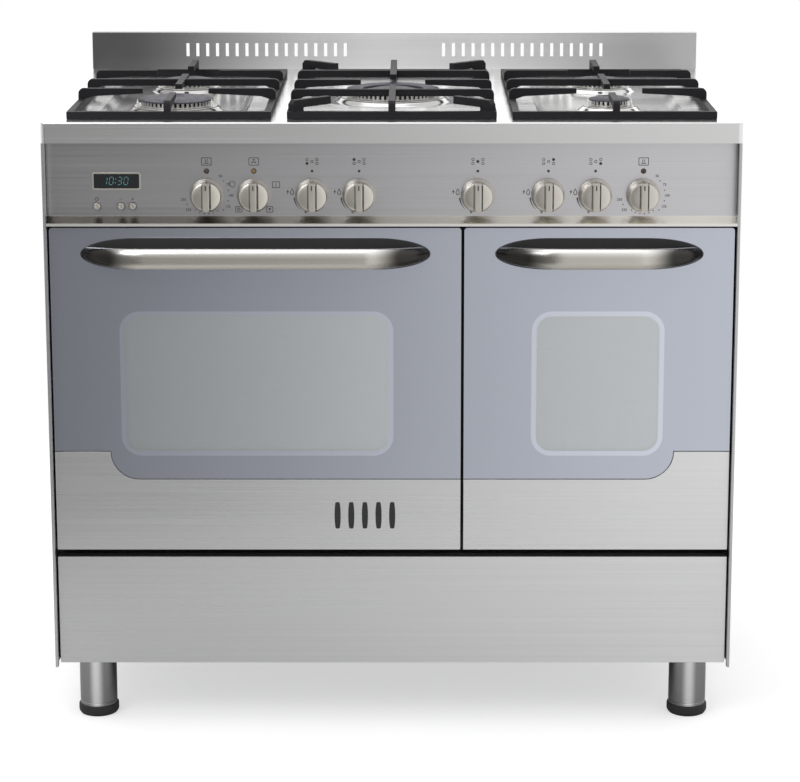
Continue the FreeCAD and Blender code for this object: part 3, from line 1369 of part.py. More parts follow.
def make_controls():
    """Knobs, taps on the gas rail, oven switches, clock and buttons."""
    tap_face = "fascia_back + tap_gap"
    rail_y = "fascia_back + rail_depth"
    rail_ends = ("tap_front_left_x - 3 * rail_radius", "inlet_x")
    rail = [cylinder("RailTube", "x", (rail_ends[0], rail_y, "knob_z"),
                     f"{rail_ends[1]} - ({rail_ends[0]})", "rail_radius"),
            cylinder("InletPipe", "y", ("inlet_x", rail_y, "knob_z"),
                     f"cooker_back - inlet_length - ({rail_y})", "rail_radius"),
            cylinder("InletStub", "y", ("inlet_x", "cooker_back - inlet_length", "knob_z"), "inlet_length",
                     "inlet_radius")]
    switches = []
    for name, (x, kind) in KNOBS.items():
        make_knob(name, x)
        tip = "fascia_face - rest_gap - knob_bore_depth + spindle_end_gap"
        spindle = cylinder("Spindle" + name, "y", (x, tip, "knob_z"), f"{tap_face} + 1 - ({tip})",
                           "spindle_radius")
        neck = cylinder("Neck" + name, "y", (x, "fascia_back", "knob_z"), "tap_gap + 1",
                        "2 * spindle_radius")
        if kind == "tap":
            body = box("TapBody" + name, (f"{x} - tap_body / 2", f"{x} + tap_body / 2"), (tap_face, rail_y),
                       ("knob_z - tap_body / 2", "knob_z + tap_body / 2"))
            rail += [spindle, neck, body]
        else:
            body = box("SwitchBody" + name, (f"{x} - switch_body / 2", f"{x} + switch_body / 2"),
                       (tap_face, f"{tap_face} + switch_depth"),
                       ("knob_z - switch_body / 2", "knob_z + switch_body / 2"))
            switches.append(fuse("Switch" + name, [spindle, body, neck]))
    piece("gas_rail", fuse("GasRail", rail))
    piece("oven_switches", group("OvenSwitches", switches))
    make_clock()


def make_clock():
    """Clock window, clock module, push buttons and indicator lamps."""
    up = ("hob_height - clock_drop - clock_height / 2", "hob_height - clock_drop + clock_height / 2")
    across = ("clock_x - clock_width / 2", "clock_x + clock_width / 2")
    lens_back = "fascia_face + clock_recess + lens_thickness"
    piece("clock_window", box("ClockWindow", across, ("fascia_face + clock_recess", lens_back), up))
    module_top = "hob_height - clock_drop + clock_height / 2 + module_foot"
    module_face = "fascia_back + button_collar + rest_gap + button_travel + rest_gap"
    module = fuse("ClockModule", [
        box("ClockBlock", ("clock_x - module_half", "clock_x + module_half"),
            (module_face, f"{module_face} + module_depth"),
            ("hob_height - button_drop - module_lap", module_top)),
        box("ClockDisplay", across, (lens_back, f"{module_face} + 1"), up),
        box("ClockFoot", ("clock_x - module_half", "clock_x - module_half + module_foot"),
            ("fascia_back", f"{module_face} + 1"), (f"{module_top} - module_foot", module_top)),
    ])
    piece("clock_module", module)
    for name, x in BUTTONS.items():
        z = "hob_height - button_drop"
        stem = cylinder("ButtonStem" + name, "y", (x, "fascia_face - button_reach", z),
                        "button_reach + sheet_metal + rest_gap + button_collar", "button_radius")
        collar = cylinder("ButtonCollar" + name, "y", (x, "fascia_back + rest_gap", z), "button_collar",
                          "button_radius + button_lip")
        piece("button_" + name.lower(), fuse("Button" + name, [stem, collar]))
    lamps = []
    for name in LAMPS:
        place = (KNOBS[name][0], "fascia_face - lamp_reach", "hob_height - lamp_drop")
        lamps.append(cylinder("Lamp" + name, "y", place, "lamp_reach + 3 * sheet_metal", "lamp_radius"))
    piece("indicator_lamps", group("IndicatorLamps", lamps))


# Legs and back

def make_legs():
    """Four leg tubes under the base tray, each on a levelling pad."""
    tubes, pads = [], []
    for side, sign in SIDES.items():
        for place, y in (("Front", "hob_front + leg_inset_y"), ("Back", "cooker_back - leg_inset_y")):
            x = f"{sign} * (hob_side - leg_inset_x)"
            name = side.capitalize() + place
            tubes.append(turned_upright("Leg" + name, x, y, [
                ("leg_radius - leg_wall", "pad_height"), ("leg_radius", "pad_height"),
                ("leg_radius", "leg_height"), ("0", "leg_height"), ("0", "leg_height - leg_wall"),
                ("leg_radius - leg_wall", "leg_height - leg_wall")]))
            pads.append(turned_upright("Pad" + name, x, y, [
                ("0", "0"), ("pad_radius - pad_chamfer", "0"), ("pad_radius", "pad_chamfer"),
                ("pad_radius", "pad_height"), ("0", "pad_height")]))
    piece("leg_tubes", group("LegTubes", tubes))
    piece("foot_pads", group("FootPads", pads))


def make_back():
    """Terminal box on the inside of the rear panel and the screws that hold the rear panel's flanges."""
    block = box("TerminalBox", ("-inlet_x", "terminal_width - inlet_x"),
                ("rear_face - terminal_depth", "rear_face"),
                ("oven_floor", "oven_floor + terminal_height"))
    piece("terminal_box", block)
    screws = []
    for side, sign in SIDES.items():
        for number in range(count("screw_count")):
            x, z = screw_place(sign, number)
            name = f"Screw{side}{number}"
            shank = cylinder(name + "Shank", "y", (x, "rear_outer - screw_length", z), "screw_length",
                             "screw_radius - running_clearance")
            head = cylinder(name + "Head", "y", (x, "rear_outer", z), "screw_head", "screw_head_radius")
            screws.append(fuse(name, [shank, head]))
    piece("panel_screws", group("PanelScrews", screws))


def build():
    """Make every sub-part."""
    for side in SIDES:
        make_side_panel(side)
        make_side_support(side)
    make_rear_panel()
    make_base_tray()
    make_front_frame()
    make_hob_top()
    make_splashback()
    make_fascia()
    blankets = [make_oven(oven) for oven in OVENS]
    piece("oven_insulation", group("OvenInsulation", blankets))
    make_convection_fan()
    make_elements()
    make_oven_lamps()
    make_shelves()
    for door in DOORS:
        make_door(door)
        make_handle_plate(door)
        make_door_handle(door)
    make_hinge_arms()
    make_door_seals()
    make_flap()
    make_burners()
    make_centre_support()
    make_controls()
    make_legs()
    make_back()


def check_and_export():
    """Stop at any failed object or bad shape, then write one STEP file for each sub-part."""
    doc.recompute()
    for item in doc.Objects:
        if "Invalid" in item.State or "Error" in item.State:
            raise RuntimeError(f"{item.Name} failed: {item.State}")
    for label, solid in PIECES.items():
        if solid.Shape.isNull() or not solid.Shape.isValid():
            raise RuntimeError(f"{label} has a bad shape")
        if not solid.Shape.Solids or solid.Shape.Volume <= 0:
            raise RuntimeError(f"{label} is not solid")
    os.makedirs("parts", exist_ok=True)
    for label, solid in PIECES.items():
        solid.Shape.exportStep(f"parts/{label}.step")
    print(len(PIECES), "sub-parts written")


build()
check_and_export()
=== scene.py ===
"""Dressed model of a freestanding range cooker with a gas hob over two side-by-side ovens.

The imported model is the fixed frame. Each class below dresses one sub-assembly of the cooker: it keeps
its sizes in millimetres, in the cooker's own frame (X to the right, Y to the back wall, Z up from the
floor), and builds or refinishes the pieces that the eye sees.
"""
from __future__ import annotations

import json
import logging
import math
from dataclasses import dataclass
from enum import Enum
from typing import Callable, Sequence

import bmesh
import bpy
from mathutils import Matrix, Vector

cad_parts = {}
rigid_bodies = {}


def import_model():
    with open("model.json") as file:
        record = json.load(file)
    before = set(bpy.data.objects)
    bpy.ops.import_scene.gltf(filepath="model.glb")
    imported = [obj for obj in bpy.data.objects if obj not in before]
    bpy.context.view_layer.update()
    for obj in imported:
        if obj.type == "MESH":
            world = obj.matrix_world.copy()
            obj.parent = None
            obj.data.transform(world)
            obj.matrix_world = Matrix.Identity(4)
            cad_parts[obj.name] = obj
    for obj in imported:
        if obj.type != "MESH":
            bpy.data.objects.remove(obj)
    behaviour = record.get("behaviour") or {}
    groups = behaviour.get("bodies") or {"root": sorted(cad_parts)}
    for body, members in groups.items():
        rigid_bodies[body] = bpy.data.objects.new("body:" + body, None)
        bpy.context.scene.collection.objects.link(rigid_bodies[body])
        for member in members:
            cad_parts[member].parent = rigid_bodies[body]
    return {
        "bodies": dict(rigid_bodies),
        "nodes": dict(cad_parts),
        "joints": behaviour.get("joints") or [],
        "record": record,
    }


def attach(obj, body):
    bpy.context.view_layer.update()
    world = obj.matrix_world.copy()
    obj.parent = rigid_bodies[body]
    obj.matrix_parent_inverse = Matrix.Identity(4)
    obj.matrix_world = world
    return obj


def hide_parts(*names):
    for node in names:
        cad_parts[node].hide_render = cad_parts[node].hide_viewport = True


LOG = logging.getLogger("range_cooker")
MM = 0.001
# Angles in degrees: between faces that count as one flat face, between faces whose edge is rounded, and
# between faces that are shaded as one smooth surface.
FLAT_BELOW, ROUND_ABOVE, SMOOTH_BELOW = 0.6, 30.0, 32.0
# Steps round a large turned piece.
FULL_ROUND = 96
# The range that a noise mostly keeps to.
NOISE_LOW, NOISE_HIGH = 0.3, 0.7
Point2 = tuple[float, float]
Point3 = tuple[float, float, float]
Colour = tuple[float, float, float]


# Materials

class Grain(Enum):
    """Direction in which a sheet was brushed."""

    ACROSS = (2.0, 700.0, 700.0)
    DEEP = (700.0, 2.0, 700.0)


class Graph:
    """Writes the node tree of one material, or of the world."""

    def __init__(self, name: str, world: bool = False) -> None:
        """Start an empty tree.

        Args:
            name: the name of what the tree belongs to.
            world: whether that is a world, read by direction, and not a material.
        """
        self.owner = (bpy.data.worlds if world else bpy.data.materials).new(name)
        self.owner.use_nodes = True
        self.tree = self.owner.node_tree
        self.tree.nodes.clear()
        self.output = self.tree.nodes.new("ShaderNodeOutputWorld" if world else "ShaderNodeOutputMaterial")
        self.place = self.tree.nodes.new("ShaderNodeTexCoord").outputs["Generated" if world else "Object"]

    def node(self, kind: str, **values: object) -> bpy.types.Node:
        """Add a node.

        Args:
            kind: the node's type without the "ShaderNode" in front.
            values: properties of the node, or sockets by number as s0, s1 and so on.

        Returns:
            The new node.
        """
        made = self.tree.nodes.new("ShaderNode" + kind)
        for key, value in values.items():
            if key[0] == "s" and key[1:].isdigit():
                self.feed(made.inputs[int(key[1:])], value)
            else:
                setattr(made, key, value)
        return made

    def feed(self, socket: bpy.types.NodeSocket, value: object) -> None:
        """Link a socket into another, or set its plain value.

        Args:
            socket: the input to fill.
            value: an output socket, a number or a tuple.
        """
        if isinstance(value, bpy.types.NodeSocket):
            self.tree.links.new(value, socket)
        elif isinstance(value, tuple) and len(value) == 3 and socket.type == "RGBA":
            socket.default_value = (*value, 1.0)
        else:
            socket.default_value = value

    def scaled(self, scale: float | Sequence[float],
               turn: Sequence[float] = (0, 0, 0)) -> bpy.types.NodeSocket:
        """Object coordinates, stretched and turned.

        Args:
            scale: factor along every axis, or along each.
            turn: turn about each axis, in radians.

        Returns:
            The vector socket.
        """
        made = self.node("Mapping")
        self.feed(made.inputs["Vector"], self.place)
        made.inputs["Rotation"].default_value = turn
        made.inputs["Scale"].default_value = (scale,) * 3 if isinstance(scale, (int, float)) else scale
        return made.outputs[0]

    def noise(self, scale: float | Sequence[float], detail: float = 3.0) -> bpy.types.NodeSocket:
        """Noise on object coordinates.

        Args:
            scale: its frequency along every axis, or along each.
            detail: its octaves.

        Returns:
            The factor socket.
        """
        made = self.node("TexNoise")
        self.feed(made.inputs["Vector"], self.scaled(scale))
        made.inputs["Scale"].default_value = 1.0
        made.inputs["Detail"].default_value = detail
        return made.outputs[0]

    def span(self, value: bpy.types.NodeSocket, low: float, high: float,
             start: float = 0.0, end: float = 1.0, smooth: bool = False) -> bpy.types.NodeSocket:
        """Map a value from start and end to low and high, with both ends eased where it is smooth.

        Args:
            value: the value.
            low: what start becomes.
            high: what end becomes.
            start: value at one end.
            end: value at the other end.
            smooth: whether both ends are eased.

        Returns:
            The mapped value.
        """
        way = "SMOOTHSTEP" if smooth else "LINEAR"
        return self.node("MapRange", interpolation_type=way, s0=value, s1=start, s2=end, s3=low,
                         s4=high).outputs[0]

    def spread(self, noise: bpy.types.NodeSocket, low: float = 0.0,
               high: float = 1.0) -> bpy.types.NodeSocket:
        """Map the usual range of a noise to low and high."""
        return self.span(noise, low, high, NOISE_LOW, NOISE_HIGH)

    def mix(self, share: object, first: object, second: object) -> bpy.types.NodeSocket:
        """Mix two values, by the share of the second one."""
        return self.node("Mix", data_type="FLOAT", s0=share, s2=first, s3=second).outputs[0]

    def blend(self, share: object, first: object, second: object, way: str = "MIX") -> bpy.types.NodeSocket:
        """Mix two colours, by the share of the second one."""
        return self.node("Mix", data_type="RGBA", blend_type=way, s0=share, s6=first, s7=second).outputs[2]

    def sum(self, operation: str, first: object, second: object = 0.0) -> bpy.types.NodeSocket:
        """Arithmetic on two values, by Blender's name for the operation."""
        return self.node("Math", operation=operation, s0=first, s1=second).outputs[0]

    def hypot(self, first: bpy.types.NodeSocket, second: bpy.types.NodeSocket) -> bpy.types.NodeSocket:
        """Length of the way that goes so far along one axis and so far along another."""
        square = self.sum("ADD", self.sum("POWER", first, 2.0), self.sum("POWER", second, 2.0))
        return self.sum("SQRT", square)

    def axes(self, vector: bpy.types.NodeSocket) -> list[bpy.types.NodeSocket]:
        """X, Y and Z of a vector."""
        return list(self.node("SeparateXYZ", s0=vector).outputs)

    def aim(self) -> list[bpy.types.NodeSocket]:
        """X, Y and Z of the way that the surface looks."""
        return self.axes(self.node("NewGeometry").outputs["Normal"])

    def seen(self) -> bpy.types.NodeSocket:
        """1 for a ray straight from the camera, also through glass, and 0 for any other."""
        path = self.node("LightPath")
        return self.sum("MAXIMUM", path.outputs["Is Camera Ray"], path.outputs["Is Transmission Ray"])

    def bump(self, height: bpy.types.NodeSocket, strength: float, depth: float) -> bpy.types.NodeSocket:
        """Normal pushed by a height.

        Args:
            height: the height, from 0 to 1.
            strength: share of the effect.
            depth: height of 1, in metres.

        Returns:
            The normal socket.
        """
        made = self.node("Bump")
        made.inputs["Strength"].default_value = strength
        made.inputs["Distance"].default_value = depth
        self.feed(made.inputs["Height"], height)
        return made.outputs[0]

    def surface(self, **values: object) -> bpy.types.Material:
        """Finish the tree with one principled shader.

        Args:
            values: its inputs, by name with underscores for spaces.

        Returns:
            The finished material.
        """
        shader = self.node("BsdfPrincipled")
        for key, value in values.items():
            self.feed(shader.inputs[key.replace("_", " ")], value)
        self.feed(self.output.inputs[0], shader.outputs[0])
        return self.owner


@dataclass(frozen=True)
class Finish:
    """A surface finish.

    Args:
        name: the material's name.
        colour: its main colour, linear.
        roughness: its mean roughness.
    """

    name: str
    colour: Colour
    roughness: float = 0.4

    def build(self) -> bpy.types.Material:
        """Make the material."""
        return self.dress(Graph(self.name))

    def tone(self, graph: Graph, share: bpy.types.NodeSocket, depth: float) -> bpy.types.NodeSocket:
        """The main colour, darker and lighter by a share.

        Args:
            graph: the tree.
            share: from 0, darkest, to 1, lightest.
            depth: how far the two ends are apart.

        Returns:
            The colour.
        """
        dark = tuple(max(c * (1 - depth), 0.0) for c in self.colour)
        light = tuple(min(c * (1 + depth), 1.0) for c in self.colour)
        return graph.blend(share, dark, light)

    def grade(self, graph: Graph, noise: bpy.types.NodeSocket, low: float,
              high: float) -> bpy.types.NodeSocket:
        """The mean roughness times low to high, as a noise goes from its dark to its light parts."""
        return graph.spread(noise, self.roughness * low, self.roughness * high)

    def dress(self, graph: Graph) -> bpy.types.Material:
        """Fill the tree; each kind of finish has its own."""
        raise NotImplementedError


@dataclass(frozen=True)
class Brushed(Finish):
    """Brushed steel or nickel with fine grain and faint smears.

    Args:
        grain: the way that it was brushed.
        depth: how much the grain changes the colour.
        side_painted_shade: strength of the painted shade, standing in for a dark reflection, where it looks
            to the left or right.
        metal: how metallic it is.
        coarse: share of the coarse grain.
    """

    grain: Grain = Grain.ACROSS
    depth: float = 0.035
    side_painted_shade: float = 0.0
    metal: float = 1.0
    coarse: float = 0.12

    def dress(self, graph: Graph) -> bpy.types.Material:
        """Grain from stretched noise, in colour, roughness and bump; painted shade where it turns aside.

        Args:
            graph: the tree.

        Returns:
            The finished material.
        """
        fine = graph.noise(self.grain.value, 4.0)
        coarse = graph.noise([v / 6 for v in self.grain.value], 2.0)
        streak = graph.mix(self.coarse, fine, coarse)
        smear = graph.noise((2.2, 2.2, 3.1), 2.0)
        rough = graph.sum("ADD", self.grade(graph, streak, 0.88, 1.14), graph.spread(smear, -0.02, 0.03))
        tint = self.shaded(graph, self.tone(graph, graph.spread(streak), self.depth))
        return graph.surface(Base_Color=tint, Metallic=self.metal, Roughness=rough,
                             Normal=graph.bump(streak, 0.05, 0.00004))

    def shaded(self, graph: Graph, tint: bpy.types.NodeSocket) -> bpy.types.NodeSocket:
        """Paint shade, standing in for a dark reflection, on a colour where the surface looks to the left or
        right.

        Args:
            graph: the tree.
            tint: the colour.

        Returns:
            The shaded colour.
        """
        if not self.side_painted_shade:
            return tint
        # Painted shade: near-black where the surface looks to the left or right, standing in for a dark
        # reflection.
        share = graph.span(graph.sum("ABSOLUTE", graph.aim()[0]), 0.0, self.side_painted_shade, 0.04, 0.44, smooth=True)
        return graph.blend(share, tint, (0.012, 0.011, 0.010))


@dataclass(frozen=True)
class Splash(Brushed):
    """Brushed steel of the upright sheet, with painted shade at the left and a lighter painted shade towards
    the right, standing in for dark reflections, so that it is bright in the middle.
    """

    def shaded(self, graph: Graph, tint: bpy.types.NodeSocket) -> bpy.types.NodeSocket:
        """Paint shade on the left part and a lighter painted shade on the right one.

        Args:
            graph: the tree.
            tint: the colour.

        Returns:
            The shaded colour.
        """
        across = graph.axes(graph.place)[0]
        # Painted shade: a near-black colour mixed in at the left and, less, towards the right, standing in
        # for dark reflections.
        left = graph.span(across, 0.93, 0.0, -0.42, -0.01, smooth=True)
        right = graph.span(across, 0.0, 0.46, 0.10, 0.40, smooth=True)
        return graph.blend(graph.sum("MAXIMUM", left, right), tint, (0.05, 0.05, 0.052))


@dataclass(frozen=True)
class Panel(Brushed):
    """Brushed steel of the front, painted lighter towards the right to stand in for more of the room's light
    there.

    Args:
        right: its painted lighter colour at the right end.
        ledge: height of the sloping ledge's foot, in metres; none where it has no ledge.
    """

    right: Colour = (0.8, 0.8, 0.8)
    ledge: float = 0.0

    def shaded(self, graph: Graph, tint: bpy.types.NodeSocket) -> bpy.types.NodeSocket:
        """Paint light on the right part; on the ledge a painted reflection runs from dark to ivory above a
        lip with a painted highlight.

        Args:
            graph: the tree.
            tint: the colour.

        Returns:
            The shaded colour.
        """
        across, _, up = graph.axes(graph.place)
        # Painted light: the colour grows towards the right colour across the piece.
        painted_light_ratio = tuple(b / a for a, b in zip(self.colour, self.right))
        share = graph.span(across, 0.0, 1.0, -0.44, 0.44, smooth=True)
        lit = graph.blend(share, tint, painted_light_ratio, "MULTIPLY")
        if not self.ledge:
            return lit
        # Painted reflection on the ledge, dark at the left and ivory at the right, and a painted highlight on
        # the lip below it.
        slope = graph.blend(share, (0.10, 0.085, 0.07), (1.0, 0.97, 0.88))
        ledge_and_lip_painted_light = graph.blend(graph.span(graph.aim()[2], 0.0, 1.0, 0.5, 0.8), (0.96, 0.94, 0.90), slope)
        return graph.blend(graph.span(up, 1.0, 0.0, self.ledge, self.ledge + 0.0005), lit, ledge_and_lip_painted_light)


@dataclass(frozen=True)
class Bar(Brushed):
    """Satin bar with a painted highlight along its upper side."""

    def shaded(self, graph: Graph, tint: bpy.types.NodeSocket) -> bpy.types.NodeSocket:
        """Paint a highlight on what looks up, then painted shade on what looks to the left or right.

        Args:
            graph: the tree.
            tint: the colour.

        Returns:
            The shaded colour.
        """
        # Painted highlight: near-white where the surface looks up.
        share = graph.span(graph.aim()[2], 0.0, 1.0, 0.0, 0.45, smooth=True)
        painted_gleam = graph.blend(share, tint, (1.0, 0.985, 0.95))
        return super().shaded(graph, painted_gleam)


@dataclass(frozen=True)
class Plated(Finish):
    """Polished or satin plate with faint handling marks.

    Args:
        satin: from 0, polished, to 1, satin.
    """

    satin: float = 0.0

    def dress(self, graph: Graph) -> bpy.types.Material:
        """Slight cloudiness in colour and roughness, and pin-fine texture where it is satin.

        Args:
            graph: the tree.

        Returns:
            The finished material.
        """
        cloud = graph.noise(35)
        fine = graph.noise(1500, 1.0)
        rough = graph.sum("ADD", self.grade(graph, cloud, 0.85, 1.15),
                          graph.span(fine, 0.0, 0.08 * self.satin))
        return graph.surface(Base_Color=self.tone(graph, cloud, 0.05), Metallic=1.0, Roughness=rough,
                             Normal=graph.bump(fine, 0.15 * self.satin + 0.01, 0.00005))


@dataclass(frozen=True)
class CastIron(Finish):
    """Enamelled casting: pebbled, glossier on its rubbed edges."""

    def dress(self, graph: Graph) -> bpy.types.Material:
        """Pebbled bump, with the edges worn a little lighter and smoother.

        Args:
            graph: the tree.

        Returns:
            The finished material.
        """
        pebble = graph.noise(420)
        wave = graph.noise(60, 2.0)
        edge = graph.span(graph.node("NewGeometry").outputs["Pointiness"], 0.0, 1.0, 0.52, 0.62)
        tint = graph.blend(graph.sum("MULTIPLY", edge, 0.5), self.tone(graph, wave, 0.25),
                           tuple(c * 3.2 for c in self.colour))
        rough = graph.sum("SUBTRACT", graph.spread(pebble, self.roughness, self.roughness + 0.14),
                          graph.sum("MULTIPLY", edge, 0.08))
        height = graph.sum("ADD", pebble, graph.sum("MULTIPLY", wave, 1.5))
        return graph.surface(Base_Color=tint, Metallic=0.0, Roughness=rough, Specular_IOR_Level=0.22,
                             Normal=graph.bump(height, 0.35, 0.0003))


@dataclass(frozen=True)
class Enamel(Finish):
    """Fired enamel with fine specks and a slight orange peel.

    Args:
        speck: colour of the specks.
        specks: how strong they are.
        gloss: strength of its shine.
    """

    speck: Colour = (0.3, 0.32, 0.34)
    specks: float = 0.0
    gloss: float = 0.5

    def dress(self, graph: Graph) -> bpy.types.Material:
        """Specks from small cells, and a shallow ripple.

        Args:
            graph: the tree.

        Returns:
            The finished material.
        """
        cells = graph.node("TexVoronoi", feature="F1")
        graph.feed(cells.inputs["Vector"], graph.scaled(260))
        dot = graph.sum("MULTIPLY", graph.span(cells.outputs["Distance"], 1.0, 0.0, 0.12, 0.2), self.specks)
        peel = graph.noise(160, 2.0)
        tint = graph.blend(dot, self.tone(graph, graph.noise(9), 0.12), self.speck)
        return graph.surface(Base_Color=tint, Metallic=0.0, Normal=graph.bump(peel, 0.12, 0.0002),
                             Specular_IOR_Level=self.gloss,
                             Roughness=self.grade(graph, peel, 0.85, 1.2))


@dataclass(frozen=True)
class CastAlloy(Finish):
    """Plain alloy casting with a sandy skin and machining left on it."""

    def dress(self, graph: Graph) -> bpy.types.Material:
        """Sandy bump and cloudy tone.

        Args:
            graph: the tree.

        Returns:
            The finished material.
        """
        sand = graph.noise(900, 2.0)
        cloud = graph.noise(50)
        return graph.surface(Base_Color=self.tone(graph, cloud, 0.14), Metallic=1.0,
                             Roughness=self.grade(graph, cloud, 0.8, 1.25),
                             Normal=graph.bump(sand, 0.25, 0.0001))


@dataclass(frozen=True)
class Sheathing(Finish):
    """Oxidised element sheath, blued in places."""

    def dress(self, graph: Graph) -> bpy.types.Material:
        """Heat tints along the rod.

        Args:
            graph: the tree.

        Returns:
            The finished material.
        """
        cloud = graph.noise(40, 4.0)
        tint = graph.blend(graph.span(cloud, 0, 1, 0.4, 0.65), self.colour, (0.10, 0.09, 0.12))
        return graph.surface(Base_Color=tint, Metallic=0.8, Roughness=graph.span(cloud, 0.4, 0.65),
                             Normal=graph.bump(cloud, 0.2, 0.0002))


@dataclass(frozen=True)
class Moulded(Finish):
    """Moulded plastic or rubber with spark-eroded grain.

    Args:
        coat: how much clear coat it has.
    """

    coat: float = 0.0

    def dress(self, graph: Graph) -> bpy.types.Material:
        """Fine leathery grain and a little unevenness.

        Args:
            graph: the tree.

        Returns:
            The finished material.
        """
        grain = graph.noise(1100, 2.0)
        cloud = graph.noise(18, 2.0)
        return graph.surface(Base_Color=self.tone(graph, cloud, 0.12), Metallic=0.0, Coat_Weight=self.coat,
                             Roughness=self.grade(graph, grain, 0.85, 1.15),
                             Normal=graph.bump(grain, 0.2 * (1 - self.coat), 0.0001))


@dataclass(frozen=True)
class Zinc(Finish):
    """Zinc-coated sheet with its frost-like spangle."""

    def dress(self, graph: Graph) -> bpy.types.Material:
        """Flat-toned cells of a few millimetres.

        Args:
            graph: the tree.

        Returns:
            The finished material.
        """
        cells = graph.node("TexVoronoi", feature="F1")
        graph.feed(cells.inputs["Vector"], graph.scaled(95))
        share = graph.node("SeparateColor", s0=cells.outputs["Color"]).outputs[0]
        return graph.surface(Base_Color=self.tone(graph, share, 0.09), Metallic=1.0,
                             Roughness=graph.span(share, self.roughness * 0.85, self.roughness * 1.15),
                             Normal=graph.bump(share, 0.05, 0.0001))


@dataclass(frozen=True)
class Woven(Finish):
    """Braided or felted fibre.

    Args:
        pitch: threads to the metre, about.
    """

    pitch: float = 600.0

    def dress(self, graph: Graph) -> bpy.types.Material:
        """Crossed threads with fuzz between them.

        Args:
            graph: the tree.

        Returns:
            The finished material.
        """
        threads = []
        for turn in ((0, 0, 0), (0, 1.57, 1.57)):
            wave = graph.node("TexWave", wave_type="BANDS", bands_direction="DIAGONAL")
            graph.feed(wave.inputs["Vector"], graph.scaled(self.pitch, turn))
            wave.inputs["Scale"].default_value = 0.5
            wave.inputs["Distortion"].default_value = 1.5
            threads.append(wave.outputs["Fac"])
        weave = graph.sum("MAXIMUM", *threads)
        fuzz = graph.noise(900, 4.0)
        height = graph.sum("ADD", weave, graph.sum("MULTIPLY", fuzz, 0.6))
        return graph.surface(Base_Color=self.tone(graph, weave, 0.3), Metallic=0.0, Roughness=0.92,
                             Normal=graph.bump(height, 0.6, 0.0006))


@dataclass(frozen=True)
class ClearGlass(Finish):
    """Clear pane or lamp cover.

    Args:
        alpha: how solid it is.
    """

    alpha: float = 0.2

    def dress(self, graph: Graph) -> bpy.types.Material:
        """Mostly see-through, with a film of dust.

        Args:
            graph: the tree.

        Returns:
            The finished material.
        """
        dust = graph.noise(25, 4.0)
        return graph.surface(Base_Color=self.tone(graph, dust, 0.05), Metallic=0.0,
                             Roughness=graph.span(dust, self.roughness, self.roughness + 0.05),
                             Alpha=graph.span(dust, self.alpha, self.alpha + 0.06), Specular_IOR_Level=0.8)


@dataclass(frozen=True)
class Printed(Finish):
    """Screen-printed ink, whose black also paints the shade strips beside the knobs' grips."""

    def dress(self, graph: Graph) -> bpy.types.Material:
        """Flat ink, slightly uneven."""
        cloud = graph.noise(700, 2.0)
        return graph.surface(Base_Color=self.tone(graph, cloud, 0.2), Metallic=0.0, Roughness=self.roughness)


@dataclass(frozen=True)
class Glow(Finish):
    """Lit segments or a lit lamp.

    Args:
        strength: how brightly it glows.
    """

    strength: float = 1.0

    def dress(self, graph: Graph) -> bpy.types.Material:
        """A steady glow, a touch uneven.

        Args:
            graph: the tree.

        Returns:
            The finished material.
        """
        cloud = graph.noise(500, 2.0)
        tint = self.tone(graph, cloud, 0.1)
        return graph.surface(Base_Color=tint, Metallic=0.0, Roughness=self.roughness, Emission_Color=tint,
                             Emission_Strength=self.strength)


@dataclass(frozen=True)
class DoorGlass(Finish):
    """Mirror-tinted door glass, printed round its window and half see-through inside it.

    Args:
        centre: middle of the window along X, in metres.
        half: half of its width.
        middle: height of its middle.
        rise: half of its height.
        corner: radius of its corners.
        clear: how much lighter the window is than the print.
        line: where the line round the window starts and ends, from its outline.
        deep: where the clear part starts, from the same outline.
        alpha: how solid the clear part is.
    """

    centre: float = 0.0
    half: float = 0.18
    middle: float = 0.4685
    rise: float = 0.0975
    corner: float = 0.027
    clear: float = 1.62
    line: Point2 = (-0.0012, 0.0004)
    deep: Point2 = (-0.0075, -0.0062)
    alpha: float = 0.70

    def dress(self, graph: Graph) -> bpy.types.Material:
        """Distance from the window's rounded outline gives its tint, its double line and its clearness.

        Args:
            graph: the tree.

        Returns:
            The finished material.
        """
        across, _, up = graph.axes(graph.place)
        sides = []
        for socket, centre, half in ((across, self.centre, self.half), (up, self.middle, self.rise)):
            away = graph.sum("ABSOLUTE", graph.sum("SUBTRACT", socket, centre))
            sides.append(graph.sum("MAXIMUM", graph.sum("SUBTRACT", away, half - self.corner), 0.0))
        edge = graph.sum("SUBTRACT", graph.hypot(*sides), self.corner)
        inside = graph.span(edge, 1.0, 0.0, *self.line)
        deep = graph.span(edge, 1.0, 0.0, *self.deep)
        cloud = graph.noise((3, 3, 2), 2.0)
        printed = self.tone(graph, cloud, 0.03)
        rim = tuple(c * 1.28 for c in self.colour)
        clear = tuple(min(c * self.clear * share, 1.0) for c, share in zip(self.colour, (1.0, 0.99, 0.89)))
        tint = graph.blend(deep, graph.blend(inside, printed, rim), clear)
        return graph.surface(Base_Color=tint, Metallic=0.92, Alpha=graph.span(deep, 1.0, self.alpha),
                             Roughness=graph.span(cloud, self.roughness, self.roughness + 0.03))


# Shapes

def new_object(name: str, data: bpy.types.ID) -> bpy.types.Object:
    """Put a mesh, a curve, a lamp or a camera in the scene.

    Args:
        name: the object's name.
        data: what it shows.

    Returns:
        The object.
    """
    piece = bpy.data.objects.new(name, data)
    bpy.context.scene.collection.objects.link(piece)
    return piece


def baked(mould: bpy.types.Object) -> bpy.types.Mesh:
    """Take an object out of the scene and keep its evaluated shape.

    Args:
        mould: the object, which is used up.

    Returns:
        The mesh.
    """
    bpy.context.view_layer.update()
    mesh = bpy.data.meshes.new_from_object(mould.evaluated_get(bpy.context.evaluated_depsgraph_get()))
    bpy.data.objects.remove(mould)
    return mesh


